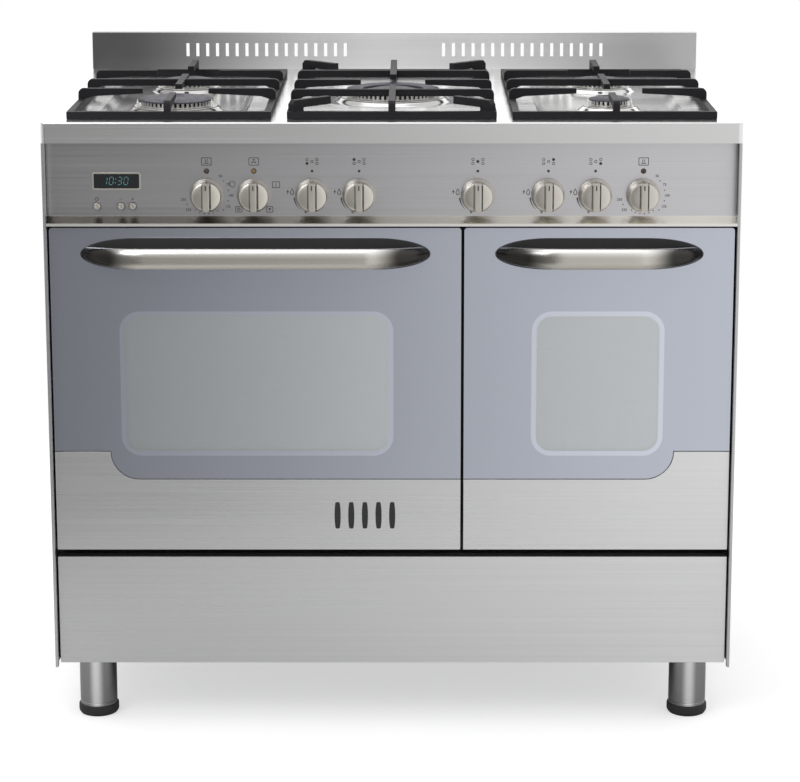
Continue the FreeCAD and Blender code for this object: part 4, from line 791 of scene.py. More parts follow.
def finished(name: str, work: bmesh.types.BMesh, material: bpy.types.Material,
             sharp: float = SMOOTH_BELOW) -> bpy.types.Object:
    """Turn a worked mesh into a piece with one material and smooth shading between sharp edges.

    Args:
        name: the piece's name.
        work: its mesh, which is used up.
        material: its material.
        sharp: angle in degrees from which an edge stays sharp; none for flat shading.

    Returns:
        The piece.
    """
    mesh = bpy.data.meshes.new(name)
    work.to_mesh(mesh)
    work.free()
    mesh.materials.append(material)
    if not sharp:
        mesh.shade_flat()
        return new_object(name, mesh)
    mesh.shade_smooth()
    mesh.set_sharp_from_angle(angle=math.radians(sharp))
    piece = new_object(name, mesh)
    weighted = piece.modifiers.new("FlatFaces", "WEIGHTED_NORMAL")
    weighted.keep_sharp = True
    return piece


def lathe(work: bmesh.types.BMesh, profile: Sequence[Point2], centre: Sequence[float],
          axis: str = "z", segments: int = 64) -> None:
    """Add a turned solid whose profile starts and ends on its axis or closes on itself.

    Args:
        work: the mesh to add to.
        profile: radius and height of each corner, in millimetres, from the foot to the top.
        centre: where the axis stands, in millimetres.
        axis: "z" for an upright axis, "y" for one that points to the front.
        segments: steps round the axis.
    """
    rings: list[list[bmesh.types.BMVert]] = []
    for radius, height in profile:
        steps = 1 if radius < 1e-6 else segments
        ring = []
        for step in range(steps):
            angle = 2 * math.pi * step / segments
            across, up = radius * math.cos(angle), radius * math.sin(angle)
            local = (across, up, height) if axis == "z" else (across, -height, up)
            ring.append(work.verts.new([(c + v) * MM for c, v in zip(centre, local)]))
        rings.append(ring)
    if profile[0][0] > 1e-6:
        rings.append(rings[0])
    for low, high in zip(rings, rings[1:]):
        for step in range(segments):
            after = (step + 1) % segments
            corners = [low[step % len(low)], low[after % len(low)], high[after % len(high)],
                       high[step % len(high)]]
            unique = list(dict.fromkeys(corners))
            if len(unique) > 2:
                work.faces.new(unique)


def loft(work: bmesh.types.BMesh, rings: Sequence[Sequence[Sequence[float]]], closed: bool = False) -> None:
    """Add a skin over rings of points, with its ends filled unless it closes on itself.

    Args:
        work: the mesh to add to.
        rings: rings of equally many points, in millimetres.
        closed: whether the last ring joins the first.
    """
    made = [[work.verts.new([v * MM for v in point]) for point in ring] for ring in rings]
    pairs = list(zip(made, made[1:])) + ([(made[-1], made[0])] if closed else [])
    count = len(rings[0])
    for low, high in pairs:
        for step in range(count):
            after = (step + 1) % count
            work.faces.new([low[step], low[after], high[after], high[step]])
    if not closed:
        work.faces.new(list(reversed(made[0])))
        work.faces.new(made[-1])


def tidy_up(work: bmesh.types.BMesh) -> bmesh.types.BMesh:
    """Merge doubles and turn every face outwards.

    Args:
        work: the mesh.

    Returns:
        The same mesh.
    """
    bmesh.ops.remove_doubles(work, verts=work.verts, dist=0.001 * MM)
    bmesh.ops.recalc_face_normals(work, faces=work.faces)
    return work


def block(work: bmesh.types.BMesh, low: Sequence[float], high: Sequence[float], round_off: float = 0.0,
          steps: int = 3) -> None:
    """Add a block with rounded edges.

    Args:
        work: the mesh to add to.
        low: its lowest corner, in millimetres.
        high: its highest corner, in millimetres.
        round_off: radius of its edges, in millimetres.
        steps: segments of the rounding.
    """
    made = bmesh.ops.create_cube(work, size=1.0)["verts"]
    for vert in made:
        vert.co = Vector([(a + (b - a) * (c + 0.5)) * MM for a, b, c in zip(low, high, vert.co)])
    if round_off:
        edges = list({edge for vert in made for edge in vert.link_edges})
        bmesh.ops.bevel(work, geom=edges, offset=round_off * MM, segments=steps, profile=0.5,
                        affect="EDGES", clamp_overlap=True)


def arc(centre: Point2, radius: float, start: float, end: float, steps: int = 10) -> list[Point2]:
    """Points along an arc.

    Args:
        centre: its centre.
        radius: its radius.
        start: first angle in degrees.
        end: last angle in degrees.
        steps: number of steps.

    Returns:
        The points.
    """
    angles = [math.radians(start + (end - start) * step / steps) for step in range(steps + 1)]
    return [(centre[0] + radius * math.cos(a), centre[1] + radius * math.sin(a)) for a in angles]


def rounded(left: float, low: float, right: float, high: float, radius: float,
            steps: int = 8) -> list[Point2]:
    """Outline of a rectangle with round corners, anticlockwise.

    Args:
        left: its left edge.
        low: its lower edge.
        right: its right edge.
        high: its upper edge.
        radius: corner radius.
        steps: steps in each corner.

    Returns:
        The outline.
    """
    radius = min(radius, (right - left) / 2 - 1e-3, (high - low) / 2 - 1e-3)
    left, low, right, high = left + radius, low + radius, right - radius, high - radius
    corners = ((left, low, 180), (right, low, 270), (right, high, 0), (left, high, 90))
    return [point for x, y, start in corners for point in arc((x, y), radius, start, start + 90, steps)]


class Facing(Enum):
    """Which way a flat plate's face looks, with the turn about X that takes it there from the XY plane."""

    FRONT = 90.0
    UP = 0.0


def plate(name: str, outlines: Sequence[Sequence[Point2]], back: float, front: float,
          material: bpy.types.Material, edge: float = 0.0, facing: Facing = Facing.FRONT) -> bpy.types.Object:
    """Flat plate with holes and eased edges.

    Args:
        name: the piece's name.
        outlines: its outline and its holes, in millimetres.
        back: level of its back face: Y for a plate that faces the front, Z for one that faces up.
        front: level of its front face.
        material: its material.
        edge: radius of its eased edges.
        facing: the way that it looks.

    Returns:
        The piece.
    """
    curve = bpy.data.curves.new(name, "CURVE")
    curve.dimensions = "2D"
    curve.fill_mode = "BOTH"
    curve.extrude = (abs(front - back) / 2 - edge) * MM
    curve.bevel_depth = edge * MM
    curve.bevel_resolution = 2
    curve.offset = -edge * MM
    for outline in outlines:
        spline = curve.splines.new("POLY")
        spline.points.add(len(outline) - 1)
        for point, (x, y) in zip(spline.points, outline):
            point.co = (x * MM, y * MM, 0.0, 1.0)
        spline.use_cyclic_u = True
    mesh = baked(new_object(name + "_outline", curve))
    turn = Matrix.Rotation(math.radians(facing.value), 4, "X")
    middle = (back + front) / 2 * MM
    shift = Vector((0, middle, 0)) if facing is Facing.FRONT else Vector((0, 0, middle))
    mesh.transform(Matrix.Translation(shift) @ turn)
    work = bmesh.new()
    work.from_mesh(mesh)
    bpy.data.meshes.remove(mesh)
    return finished(name, tidy_up(work), material, SMOOTH_BELOW if edge else 0.0)


def joined(name: str, pieces: Sequence[bpy.types.Object], material: bpy.types.Material) -> bpy.types.Object:
    """Make one piece of several.

    Args:
        name: the new piece's name.
        pieces: the pieces, which are used up.
        material: the new piece's material.

    Returns:
        The new piece.
    """
    work = bmesh.new()
    for piece in pieces:
        work.from_mesh(piece.data)
        bpy.data.objects.remove(piece)
    return finished(name, work, material)


class Repeat:
    """Geometry Nodes tree that sets copies of one mesh in a row or round a ring."""

    def __init__(self, name: str, ring: bool) -> None:
        """Build the tree.

        Args:
            name: the tree's name.
            ring: whether the copies stand round a ring, and not in a row.
        """
        self.tree = bpy.data.node_groups.new(name, "GeometryNodeTree")
        face = self.tree.interface
        face.new_socket("Mesh", in_out="INPUT", socket_type="NodeSocketGeometry")
        kinds = {"Count": "Int", "Step": "Vector", "Radius": "Float", "Start": "Vector", "Finish": "Material"}
        self.sockets: dict[str, str] = {}
        for label, kind in kinds.items():
            socket = face.new_socket(label, in_out="INPUT", socket_type="NodeSocket" + kind)
            self.sockets[label] = socket.identifier
        face.new_socket("Mesh", in_out="OUTPUT", socket_type="NodeSocketGeometry")
        given, result, copies, shift, real, painted = [self.tree.nodes.new(kind) for kind in (
            "NodeGroupInput", "NodeGroupOutput", "GeometryNodeInstanceOnPoints", "GeometryNodeTransform",
            "GeometryNodeRealizeInstances", "GeometryNodeSetMaterial")]
        places = self.tree.nodes.new("GeometryNodeMeshCircle" if ring else "GeometryNodeMeshLine")
        if ring:
            self.face_outwards(given, copies)
        for source, output, target, socket in (
            (given, "Count", places, "Vertices" if ring else "Count"),
            (given, "Radius" if ring else "Step", places, "Radius" if ring else "Offset"),
            (places, "Mesh", copies, "Points"),
            (given, "Mesh", copies, "Instance"),
            (copies, "Instances", shift, "Geometry"),
            (given, "Start", shift, "Translation"),
            (shift, "Geometry", real, "Geometry"),
            (real, "Geometry", painted, "Geometry"),
            (given, "Finish", painted, "Material"),
            (painted, "Geometry", result, "Mesh"),
        ):
            self.tree.links.new(source.outputs[output], target.inputs[socket])

    def face_outwards(self, given: bpy.types.Node, copies: bpy.types.Node) -> None:
        """Turn each copy about Z by its share of the ring.

        Args:
            given: the node with the tree's inputs.
            copies: the node that sets the copies.
        """
        index, part, whole, turn = [self.tree.nodes.new(kind) for kind in (
            "GeometryNodeInputIndex", "ShaderNodeMath", "ShaderNodeMath", "ShaderNodeCombineXYZ")]
        part.operation, whole.operation = "DIVIDE", "MULTIPLY"
        whole.inputs[1].default_value = 2 * math.pi
        for output, socket in (
            (index.outputs[0], part.inputs[0]),
            (given.outputs["Count"], part.inputs[1]),
            (part.outputs[0], whole.inputs[0]),
            (whole.outputs[0], turn.inputs[2]),
            (turn.outputs[0], copies.inputs["Rotation"]),
        ):
            self.tree.links.new(output, socket)

    def bake(self, name: str, unit: bmesh.types.BMesh, count: int, start: Sequence[float],
             material: bpy.types.Material, step: Sequence[float] = (0, 0, 0),
             radius: float = 0.0) -> bpy.types.Object:
        """Run the tree on one unit and keep the result as a plain mesh.

        Args:
            name: the piece's name.
            unit: the mesh that is repeated, about the origin; it is used up.
            count: number of copies.
            start: place of the first copy, or of the ring's centre, in millimetres.
            material: the material.
            step: from one copy to the next in a row, in millimetres.
            radius: the ring's radius, in millimetres.

        Returns:
            The piece.
        """
        mould = finished(name + "_unit", unit, material)
        nodes = mould.modifiers.new("Repeat", "NODES")
        nodes.node_group = self.tree
        nodes[self.sockets["Count"]] = count
        nodes[self.sockets["Step"]] = [v * MM for v in step]
        nodes[self.sockets["Radius"]] = radius * MM
        nodes[self.sockets["Start"]] = [v * MM for v in start]
        nodes[self.sockets["Finish"]] = material
        mesh = baked(mould)
        if not mesh.materials:
            mesh.materials.append(material)
        return new_object(name, mesh)


# The cooker

class Shop:
    """Holds the frame and the finishes, and sets pieces on their bodies."""

    def __init__(self) -> None:
        """Load the frame and make every finish."""
        self.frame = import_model()
        self.finish: dict[str, bpy.types.Material] = {}
        for finish in (
            # The stainless finishes from steel_deep to steel_cover are one steel in lighter and darker
            # copies: each colour is painted light or shade for how light falls on that part, the wells
            # darkest and the splashback lightest.
            Brushed("steel_deep", (0.60, 0.60, 0.605), 0.30, Grain.DEEP),
            Brushed("steel_hob", (0.78, 0.78, 0.775), 0.24, Grain.ACROSS, 0.02),
            Panel("steel_well", (0.34, 0.335, 0.33), 0.17, Grain.ACROSS, 0.02, right=(0.74, 0.74, 0.735)),
            Splash("steel_splash", (0.92, 0.92, 0.92), 0.40, Grain.ACROSS, 0.02, 0.0, 0.55),
            Panel("steel_fascia", (0.47, 0.465, 0.475), 0.30, right=(0.72, 0.71, 0.73), ledge=0.6902),
            Panel("steel_cover", (0.66, 0.66, 0.665), 0.30, right=(0.90, 0.90, 0.905)),
            Bar("nickel_bar", (0.64, 0.61, 0.55), 0.26, Grain.ACROSS, 0.05, 0.95),
            Plated("nickel_knob", (0.66, 0.63, 0.57), 0.30, 1.0),
            Brushed("leg_chrome", (0.90, 0.90, 0.91), 0.12, Grain.ACROSS, 0.03, 0.66),
            Plated("wire_chrome", (0.72, 0.72, 0.73), 0.16),
            CastIron("grate_enamel", (0.011, 0.010, 0.012), 0.48),
            Enamel("cap_enamel", (0.060, 0.057, 0.074), 0.50, (0.1, 0.1, 0.1), 0.3, 0.2),
            Enamel("oven_enamel", (0.30, 0.32, 0.34), 0.30, (0.55, 0.57, 0.6), 0.5),
            Enamel("frame_enamel", (0.03, 0.03, 0.032), 0.42, (0.08, 0.08, 0.08), 0.2),
            CastAlloy("burner_alloy", (0.62, 0.61, 0.59), 0.33),
            CastAlloy("rail_alloy", (0.60, 0.60, 0.60), 0.45),
            Sheathing("element_sheath", (0.06, 0.058, 0.055), 0.5),
            Zinc("zinc_sheet", (0.52, 0.53, 0.545), 0.42),
            Woven("wool_blanket", (0.62, 0.55, 0.36), 0.95, 220.0),
            Woven("seal_braid", (0.06, 0.06, 0.062), 0.9, 900.0),
            Moulded("pad_rubber", (0.018, 0.018, 0.019), 0.6),
            Moulded("stud_rubber", (0.42, 0.40, 0.38), 0.55),
            Moulded("black_plastic", (0.02, 0.02, 0.022), 0.5),
            Moulded("lens_black", (0.008, 0.010, 0.012), 0.12, 0.8),
            Moulded("lamp_dark", (0.05, 0.025, 0.015), 0.25, 0.6),
            Glow("lamp_amber", (0.21, 0.14, 0.05), 0.3, 0.05),
            Glow("digit_glow", (0.13, 0.33, 0.34), 0.4, 0.45),
            Moulded("ceramic", (0.80, 0.79, 0.75), 0.25, 0.5),
            ClearGlass("pane_glass", (0.80, 0.85, 0.86), 0.04, 0.16),
            ClearGlass("lamp_glass", (0.90, 0.88, 0.80), 0.25, 0.7),
            Printed("print_and_painted_shade_black", (0.035, 0.035, 0.04), 0.5),
            DoorGlass("main_glass_tint", (0.57, 0.60, 0.68), 0.10, -0.177, 0.179),
            DoorGlass("side_glass_tint", (0.57, 0.60, 0.68), 0.10, 0.26895, 0.087, clear=1.36),
        ):
            self.finish[finish.name] = finish.build()
        self.row = Repeat("RepeatInRow", False)
        self.ring = Repeat("RepeatInRing", True)

    def fit(self, piece: bpy.types.Object, body: str, slot: str, *nodes: str) -> None:
        """Set a piece on its body and hide the CAD nodes that it replaces.

        Args:
            piece: the finished piece.
            body: the body that it rides on.
            slot: the record's material slot; not used.
            nodes: CAD nodes that it replaces.
        """
        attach(piece, body)
        if nodes:
            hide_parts(*nodes)
        LOG.info("%s rides on %s (%d faces)", piece.name, body, len(piece.data.polygons))

    def paint(self, finish: str, *nodes: str) -> None:
        """Give CAD nodes a finish.

        Args:
            finish: the finish's name.
            nodes: the nodes.
        """
        for node in nodes:
            mesh = self.frame["nodes"][node].data
            mesh.materials.clear()
            mesh.materials.append(self.finish[finish])

    def press(self, name: str, outlines: Sequence[Sequence[Point2]], levels: Point2, finish: str, body: str,
              slot: str, *nodes: str, edge: float = 0.0, facing: Facing = Facing.FRONT) -> None:
        """Cut a flat plate and set it on its body.

        Args:
            name: the piece's name.
            outlines: its outline and its holes, in millimetres.
            levels: where its back and its front face lie.
            finish: the finish's name.
            body: the body that it rides on.
            slot: the record's material slot.
            nodes: CAD nodes that it replaces.
            edge: radius of its eased edges.
            facing: the way that it looks.
        """
        self.fit(plate(name, outlines, *levels, self.finish[finish], edge, facing), body, slot, *nodes)

    def cast(self, name: str, work: bmesh.types.BMesh, finish: str, body: str, slot: str, *nodes: str,
             sharp: float = SMOOTH_BELOW) -> None:
        """Close a worked mesh, finish it and set it on its body.

        Args:
            name: the piece's name.
            work: its mesh, which is used up.
            finish: the finish's name.
            body: the body that it rides on.
            slot: the record's material slot.
            nodes: CAD nodes that it replaces.
            sharp: angle in degrees from which an edge stays sharp.
        """
        self.fit(finished(name, tidy_up(work), self.finish[finish], sharp), body, slot, *nodes)

    def soften(self, node: str, body: str, slot: str, finish: str, radius: float, steps: int = 2,
               cut: bool = False) -> None:
        """Replace a CAD node by a copy with its edges rounded.

        Args:
            node: the node's name.
            body: the body that it rides on.
            slot: the record's material slot.
            finish: the finish's name.
            radius: radius of the rounding, in millimetres.
            steps: segments of the rounding.
            cut: whether faces with many corners are cut into triangles first.
        """
        work = bmesh.new()
        work.from_mesh(self.frame["nodes"][node].data)
        bmesh.ops.remove_doubles(work, verts=work.verts, dist=0.002 * MM)
        bmesh.ops.dissolve_limit(work, angle_limit=math.radians(FLAT_BELOW), verts=work.verts,
                                 edges=work.edges)
        if cut:
            bmesh.ops.triangulate(work, faces=[face for face in work.faces if len(face.verts) > 4])
        edges = [edge for edge in work.edges
                 if len(edge.link_faces) == 2 and edge.calc_face_angle(0.0) > math.radians(ROUND_ABOVE)]
        bmesh.ops.bevel(work, geom=edges, offset=radius * MM, segments=steps, profile=0.6, affect="EDGES",
                        clamp_overlap=True)
        self.fit(finished(node + "_dressed", work, self.finish[finish], 40.0), body, slot, node)


@dataclass
class Studio:
    """Camera, soft light and pale floor.

    Args:
        lens: focal length for a sensor 36 mm wide.
        stand: the camera's place, in millimetres.
        pitch: how far it looks down, in degrees.
        shift: its lens shift.
        floor_radius: where the floor ends, in millimetres.
        floor_fade: where it starts to fade.
    """

    lens: float = 119.6
    stand: tuple[float, float, float] = (24.9, -3658.2, 1278.8)
    pitch: float = 11.88
    shift: Point2 = (-0.0139, -0.1)
    floor_radius: float = 1500.0
    floor_fade: float = 1050.0

    def build(self) -> None:
        """Set up everything that isn't the cooker."""
        scene = bpy.context.scene
        scene.view_settings.view_transform = "Standard"
        self.set_camera(scene)
        self.set_world(scene)
        self.lay_floor()
        self.hang_lamp("KeyLamp", (-1500.0, -2300.0, 2300.0), (0.0, 0.0, 500.0), (1.4, 1.4), 26.0)
        self.hang_lamp("TopLamp", (-300.0, 100.0, 2600.0), (0.0, 0.0, 800.0), (2.2, 1.6), 11.0)
        self.hang_lamp("BackLamp", (200.0, 2300.0, 1650.0), (0.0, 100.0, 815.0), (3.2, 1.4), 8.0)

    def set_camera(self, scene: bpy.types.Scene) -> None:
        """Stand the camera where the photograph was taken from.

        Args:
            scene: the scene.
        """
        data = bpy.data.cameras.new("Camera")
        data.sensor_width, data.lens = 36.0, self.lens
        data.shift_x, data.shift_y = self.shift
        data.clip_start, data.clip_end = 0.05, 60.0
        scene.camera = new_object("Camera", data)
        scene.camera.location = [v * MM for v in self.stand]
        scene.camera.rotation_euler = (math.radians(90 - self.pitch), 0.0, 0.0)

    def set_world(self, scene: bpy.types.Scene) -> None:
        """White behind the cooker and above it, and a studio that is darker on its front left.

        Args:
            scene: the scene.
        """
        graph = Graph("StudioWorld", world=True)
        x, y, z = graph.axes(graph.place)
        level = graph.span(x, 0.18, 0.88, -0.18, 0.17, smooth=True)
        for axis, start, end, bright in ((x, 0.30, 0.70, 1.0), (x, -0.35, -0.80, 0.55), (y, -0.25, 0.30, 1.0),
                                         (z, 0.48, 0.76, 1.0)):
            level = graph.mix(graph.span(axis, 0, 1, start, end, smooth=True), level, bright)
        level = graph.mix(graph.seen(), level, 1.0)
        tint = graph.node("CombineColor", s0=level, s1=level, s2=level).outputs[0]
        graph.feed(graph.output.inputs[0], graph.node("Background", s0=tint).outputs[0])
        scene.world = graph.owner

    def lay_floor(self) -> None:
        """Pale floor that fades into the background and keeps the shadow."""
        work = bmesh.new()
        bmesh.ops.create_circle(work, cap_ends=True, radius=self.floor_radius * MM, segments=128)
        graph = Graph("StudioFloor")
        away = graph.hypot(*graph.axes(graph.place)[:2])
        fade = graph.span(away, 0.0, 1.0, self.floor_fade * MM, self.floor_radius * MM * 0.98, smooth=True)
        paint = graph.node("BsdfPrincipled")
        grain = graph.noise(6, 2.0)
        graph.feed(paint.inputs["Base Color"], graph.blend(grain, (0.53, 0.53, 0.53), (0.56, 0.56, 0.56)))
        paint.inputs["Roughness"].default_value = 0.9
        paint.inputs["Emission Color"].default_value = (1.0, 1.0, 1.0, 1.0)
        graph.feed(paint.inputs["Emission Strength"], graph.sum("MULTIPLY", graph.seen(), 0.55))
        clear = graph.node("BsdfTransparent").outputs[0]
        both = graph.node("MixShader", s0=fade, s1=paint.outputs[0], s2=clear)
        graph.feed(graph.output.inputs[0], both.outputs[0])
        finished("Floor", work, graph.owner)

    def hang_lamp(self, name: str, place: Sequence[float], target: Sequence[float], size: Point2,
                  power: float) -> None:
        """Hang a soft lamp.

        Args:
            name: its name.
            place: where it hangs, in millimetres.
            target: what it points at, in millimetres.
            size: its two sides, in metres.
            power: its power in watts.
        """
        data = bpy.data.lights.new(name, "AREA")
        data.shape = "RECTANGLE"
        data.size, data.size_y = size
        data.energy = power
        lamp = new_object(name, data)
        lamp.location = [v * MM for v in place]
        lamp.rotation_euler = (Vector(target) - Vector(place)).to_track_quat("-Z", "Y").to_euler()


@dataclass(frozen=True)
class Burner:
    """One burner: its place, cap radius and flame ports."""

    x: float
    y: float
    radius: float
    ports: int
    wok: bool = False

    @property
    def place(self) -> Point3:
        """Where its axis stands, in millimetres."""
        return self.x, self.y, 0.0


BURNERS = {
    "front_left": Burner(-290.0, -119.0, 49.5, 44),
    "rear_left": Burner(-290.0, 88.0, 37.0, 33),
    "centre": Burner(0.0, -22.0, 64.0, 56, wok=True),
    "rear_right": Burner(290.0, 88.0, 37.0, 33),
    "front_right": Burner(290.0, -119.0, 27.5, 24),
}


@dataclass
class Hob:
    """Pressed hob top with its burners.

    Args:
        top: height of the rim.
        under: height of the skirt's lower edge.
        side: half of the width.
        front: front of the skirt.
        back: back of the sheet.
        sheet: thickness of the sheet.
        well: depth of the pressed wells.
        slope: width of their sloping sides.
        boss: how far the raised seat reaches past a burner's cap.
        cup_low: height of the cups' floor.
        flange: height of the cups' flange.
        cap_base: height of the caps' underside.
        cap_top: height of the caps' top.
        hollow: inner radius of the wok burner's ring.
        core: radius of its core.
        wall: share of a crown that is wall, and not flame port.
    """

    top: float = 815.0
    under: float = 788.2
    side: float = 450.0
    front: float = -284.0
    back: float = 316.0
    sheet: float = 1.5
    well: float = 5.0
    slope: float = 15.0
    boss: float = 15.0
    cup_low: float = 795.0
    flange: float = 816.5
    cap_base: float = 823.5
    cap_top: float = 827.5
    hollow: float = 42.0
    core: float = 33.0
    wall: float = 0.56

    def build(self, shop: Shop) -> None:
        """Build the hob top, the splashback and the burners.

        Args:
            shop: holds the frame and the finishes.
        """
        self.shop = shop
        self.skin()
        shop.soften("splashback", "cooker", "stainless", "steel_splash", 0.5)
        self.cups()
        self.spreaders()
        self.caps()
        self.electrodes()

    def wells(self) -> list[Callable[[float], list[Point2]]]:
        """Outlines of the three wells as functions of how far inside they lie.

        Returns:
            One function for each well.
        """
        def side(sign: int) -> Callable[[float], list[Point2]]:
            """Outline of the well at one side, 1 for the right and -1 for the left."""
            low, high = sorted((sign * 191.0, sign * 385.0))
            return lambda step: rounded(low + step, -216.0 + step, high - step, 186.0 - step, 34.0 - step, 8)

        def middle(step: float) -> list[Point2]:
            """Outline of the round well under the wok burner."""
            wok = BURNERS["centre"]
            return arc((wok.x, wok.y), 112.0 - step, 0, 355, 71)
        return [side(-1), side(1), middle]

    def fall(self, width: float, steps: int) -> list[Point2]:
        """Smooth step of the sheet: how far across it, and how far down."""
        return [(width * step / steps, self.well * (1 - math.cos(math.pi * step / steps)) / 2)
                for step in range(steps + 1)]

    def edge(self, step: float) -> list[Point2]:
        """Outline of the sheet, so far inside its edge."""
        reach = self.side - step
        return rounded(-reach, self.front + step, reach, self.back - step, 6.0 - step, 6)

    def skin(self) -> None:
        """Sheet with a rolled edge, a skirt and three wells with raised seats for the burners."""
        top, sheet, wells, roll = self.top, self.sheet, self.wells(), 2.0
        self.shop.press("hob_flat", [self.edge(roll)] + [well(0.0) for well in wells], (top - sheet, top),
                        "steel_hob", "cooker", "stainless", "hob_top", facing=Facing.UP)
        turns = [math.radians(angle) for angle in range(0, 91, 15)]
        rolled = [(roll * (1 - math.sin(a)), top - roll * (1 - math.cos(a))) for a in turns]
        inner = [(0.0, self.under), (sheet, self.under), (sheet, top - 2.2), (2.4, top - 1.2)]
        skirt = bmesh.new()
        loft(skirt, [[(x, y, z) for x, y in self.edge(step)] for step, z in rolled + inner], closed=True)
        pressed = bmesh.new()
        for well in wells:
            under = [(self.slope + 1.0, top - self.well - 1.2), (-0.8, top - 1.3), (-0.8, top - 0.4)]
            rings = under + [(step, top - drop) for step, drop in self.fall(self.slope, 8)]
            loft(pressed, [[(x, y, z) for x, y in well(step)] for step, z in rings])
        floor = top - self.well
        for burner in BURNERS.values():
            reach = burner.radius + self.boss
            profile = [(0.0, floor - 1.0), (reach, floor - 1.0), (reach, floor)]
            profile += [(reach - step, floor + climb) for step, climb in self.fall(8.0, 6)[1:]]
            lathe(pressed, profile + [(0.0, top)], burner.place, segments=FULL_ROUND)
        self.shop.cast("hob_skirt", skirt, "steel_hob", "cooker", "stainless")
        self.shop.cast("hob_wells", pressed, "steel_well", "cooker", "stainless")

    def cups(self) -> None:
        """Alloy cups with a stepped flange that sits on the hob."""
        work = bmesh.new()
        for burner in BURNERS.values():
            low, top, flange, r = self.cup_low, self.top, self.flange, burner.radius
            lathe(work, [(0.0, low), (r - 6.0, low), (r - 5.0, low + 1.0), (r - 5.0, top), (r + 5.6, top),
                         (r + 6.0, top + 0.3), (r + 6.0, top + 0.9), (r + 5.2, flange - 0.1),
                         (r + 3.4, flange), (r + 2.8, flange - 0.4), (r - 1.0, flange - 0.5),
                         (r - 3.5, flange), (0.0, flange)],
                  burner.place, segments=FULL_ROUND)
        self.shop.cast("burner_cup_rings", work, "burner_alloy", "cooker", "burner_alloy", "burner_cups")

    def tooth(self, width: float) -> bmesh.types.BMesh:
        """One wall between two flame ports, on the ring's radius.

        Args:
            width: its width.

        Returns:
            Its mesh.
        """
        work = bmesh.new()
        block(work, (-6.0, -width / 2, self.flange + 1.2), (0.0, width / 2, self.cap_base), 0.35, 1)
        return work

    def spreaders(self) -> None:
        """Alloy crowns: a drum with a ring of walls between the flame ports."""
        alloy = self.shop.finish["burner_alloy"]
        work = bmesh.new()
        rings: list[bpy.types.Object] = []
        for name, burner in BURNERS.items():
            low, top = self.flange, self.cap_base
            reach, inner = burner.radius - 3.0, self.core - 3.0
            crowns = [(reach, burner.ports)]
            if burner.wok:
                crowns += [(inner, 24)]
                lathe(work, [(self.hollow, low), *self.drum(reach), (self.hollow, top)], burner.place,
                      segments=FULL_ROUND)
            lathe(work, [(0.0, low), *self.drum(inner if burner.wok else reach), (0.0, top)], burner.place,
                  segments=FULL_ROUND)
            for number, (radius, ports) in enumerate(crowns):
                tooth = self.tooth(2 * math.pi * radius / ports * self.wall)
                rings.append(self.shop.ring.bake(f"ports_{name}_{number}", tooth, ports, burner.place, alloy,
                                                 radius=radius))
        body = finished("spreader_drums", tidy_up(work), alloy)
        self.shop.fit(joined("flame_crowns", [body] + rings, alloy), "cooker", "burner_alloy",
                      "flame_spreaders")

    def drum(self, reach: float) -> list[Point2]:
        """Outer side of a spreader's drum: a foot, then the wall that the ports stand before."""
        low = self.flange
        return [(reach, low), (reach, low + 1.6), (reach - 4.0, low + 2.2), (reach - 5.0, self.cap_base)]

    def caps(self) -> None:
        """Loose enamelled lids, with a faint concentric step, and the wok burner's ring and core."""
        work = bmesh.new()
        low, top = self.cap_base, self.cap_top
        for burner in BURNERS.values():
            r = burner.radius
            if burner.wok:
                lathe(work, [(self.hollow, low), (r, low), (r, low + 2.1), (r - 0.8, low + 3.3),
                             (r - 2.6, top - 0.1), (r - 5.0, top), (self.hollow + 2.0, top - 0.4),
                             (self.hollow, low + 2.7)], burner.place, segments=FULL_ROUND)
                r = self.core
            lathe(work, [(0.0, low), (r, low), (r, low + 1.1), (r - 0.7, low + 1.8), (r - 1.6, low + 2.1),
                         (r * 0.74, top - 0.5), (r * 0.70, top), (r * 0.2, top), (0.0, top)], burner.place,
                  segments=FULL_ROUND)
        self.shop.cast("burner_lids", work, "cap_enamel", "cooker", "black_enamel", "burner_caps")

    def electrodes(self) -> None:
        """Ceramic spark plugs and flame probes beside each spreader."""
        work = bmesh.new()
        for burner in BURNERS.values():
            for x, y in arc((burner.x, burner.y), burner.radius + 3.0, 200, 340, 1):
                lathe(work, [(0.0, 816.5), (1.5, 816.5), (1.5, 822.6), (1.1, 823.2), (0.6, 823.4),
                             (0.6, 826.2), (0.3, 826.5), (0.0, 826.5)], (x, y, 0.0), segments=20)
        self.shop.cast("spark_plugs", work, "ceramic", "cooker", "ceramic", "ignition_electrodes")


@dataclass
class PanSupports:
    """Three cast pan supports on pale rubber studs.

    Args:
        front: front edge of the frames.
        back: their back edge.
        spans: left and right edges of each.
    """

    front: float = -252.0
    back: float = 221.0
    spans: tuple[tuple[str, float, float], ...] = (
        ("left", -420.0, -156.0), ("centre", -135.5, 135.5), ("right", 156.0, 420.0))

    def build(self, shop: Shop) -> None:
        """Round the castings and set the studs under their corners.

        Args:
            shop: holds the frame and the finishes.
        """
        for name, left, right in self.spans:
            body = "pan_support_" + name
            shop.soften(body, body, "cast_iron", "grate_enamel", 1.0, 3, cut=True)
            work = bmesh.new()
            for x in (left + 5.0, right - 5.0):
                for y in (self.front + 5.0, self.back - 5.0):
                    lathe(work, [(0.0, 815.05), (3.4, 815.05), (3.9, 815.5), (3.9, 817.5), (0.0, 817.5)],
                          (x, y, 0.0), segments=24)
            shop.cast("support_studs_" + name, work, "stud_rubber", body, "pad_rubber")


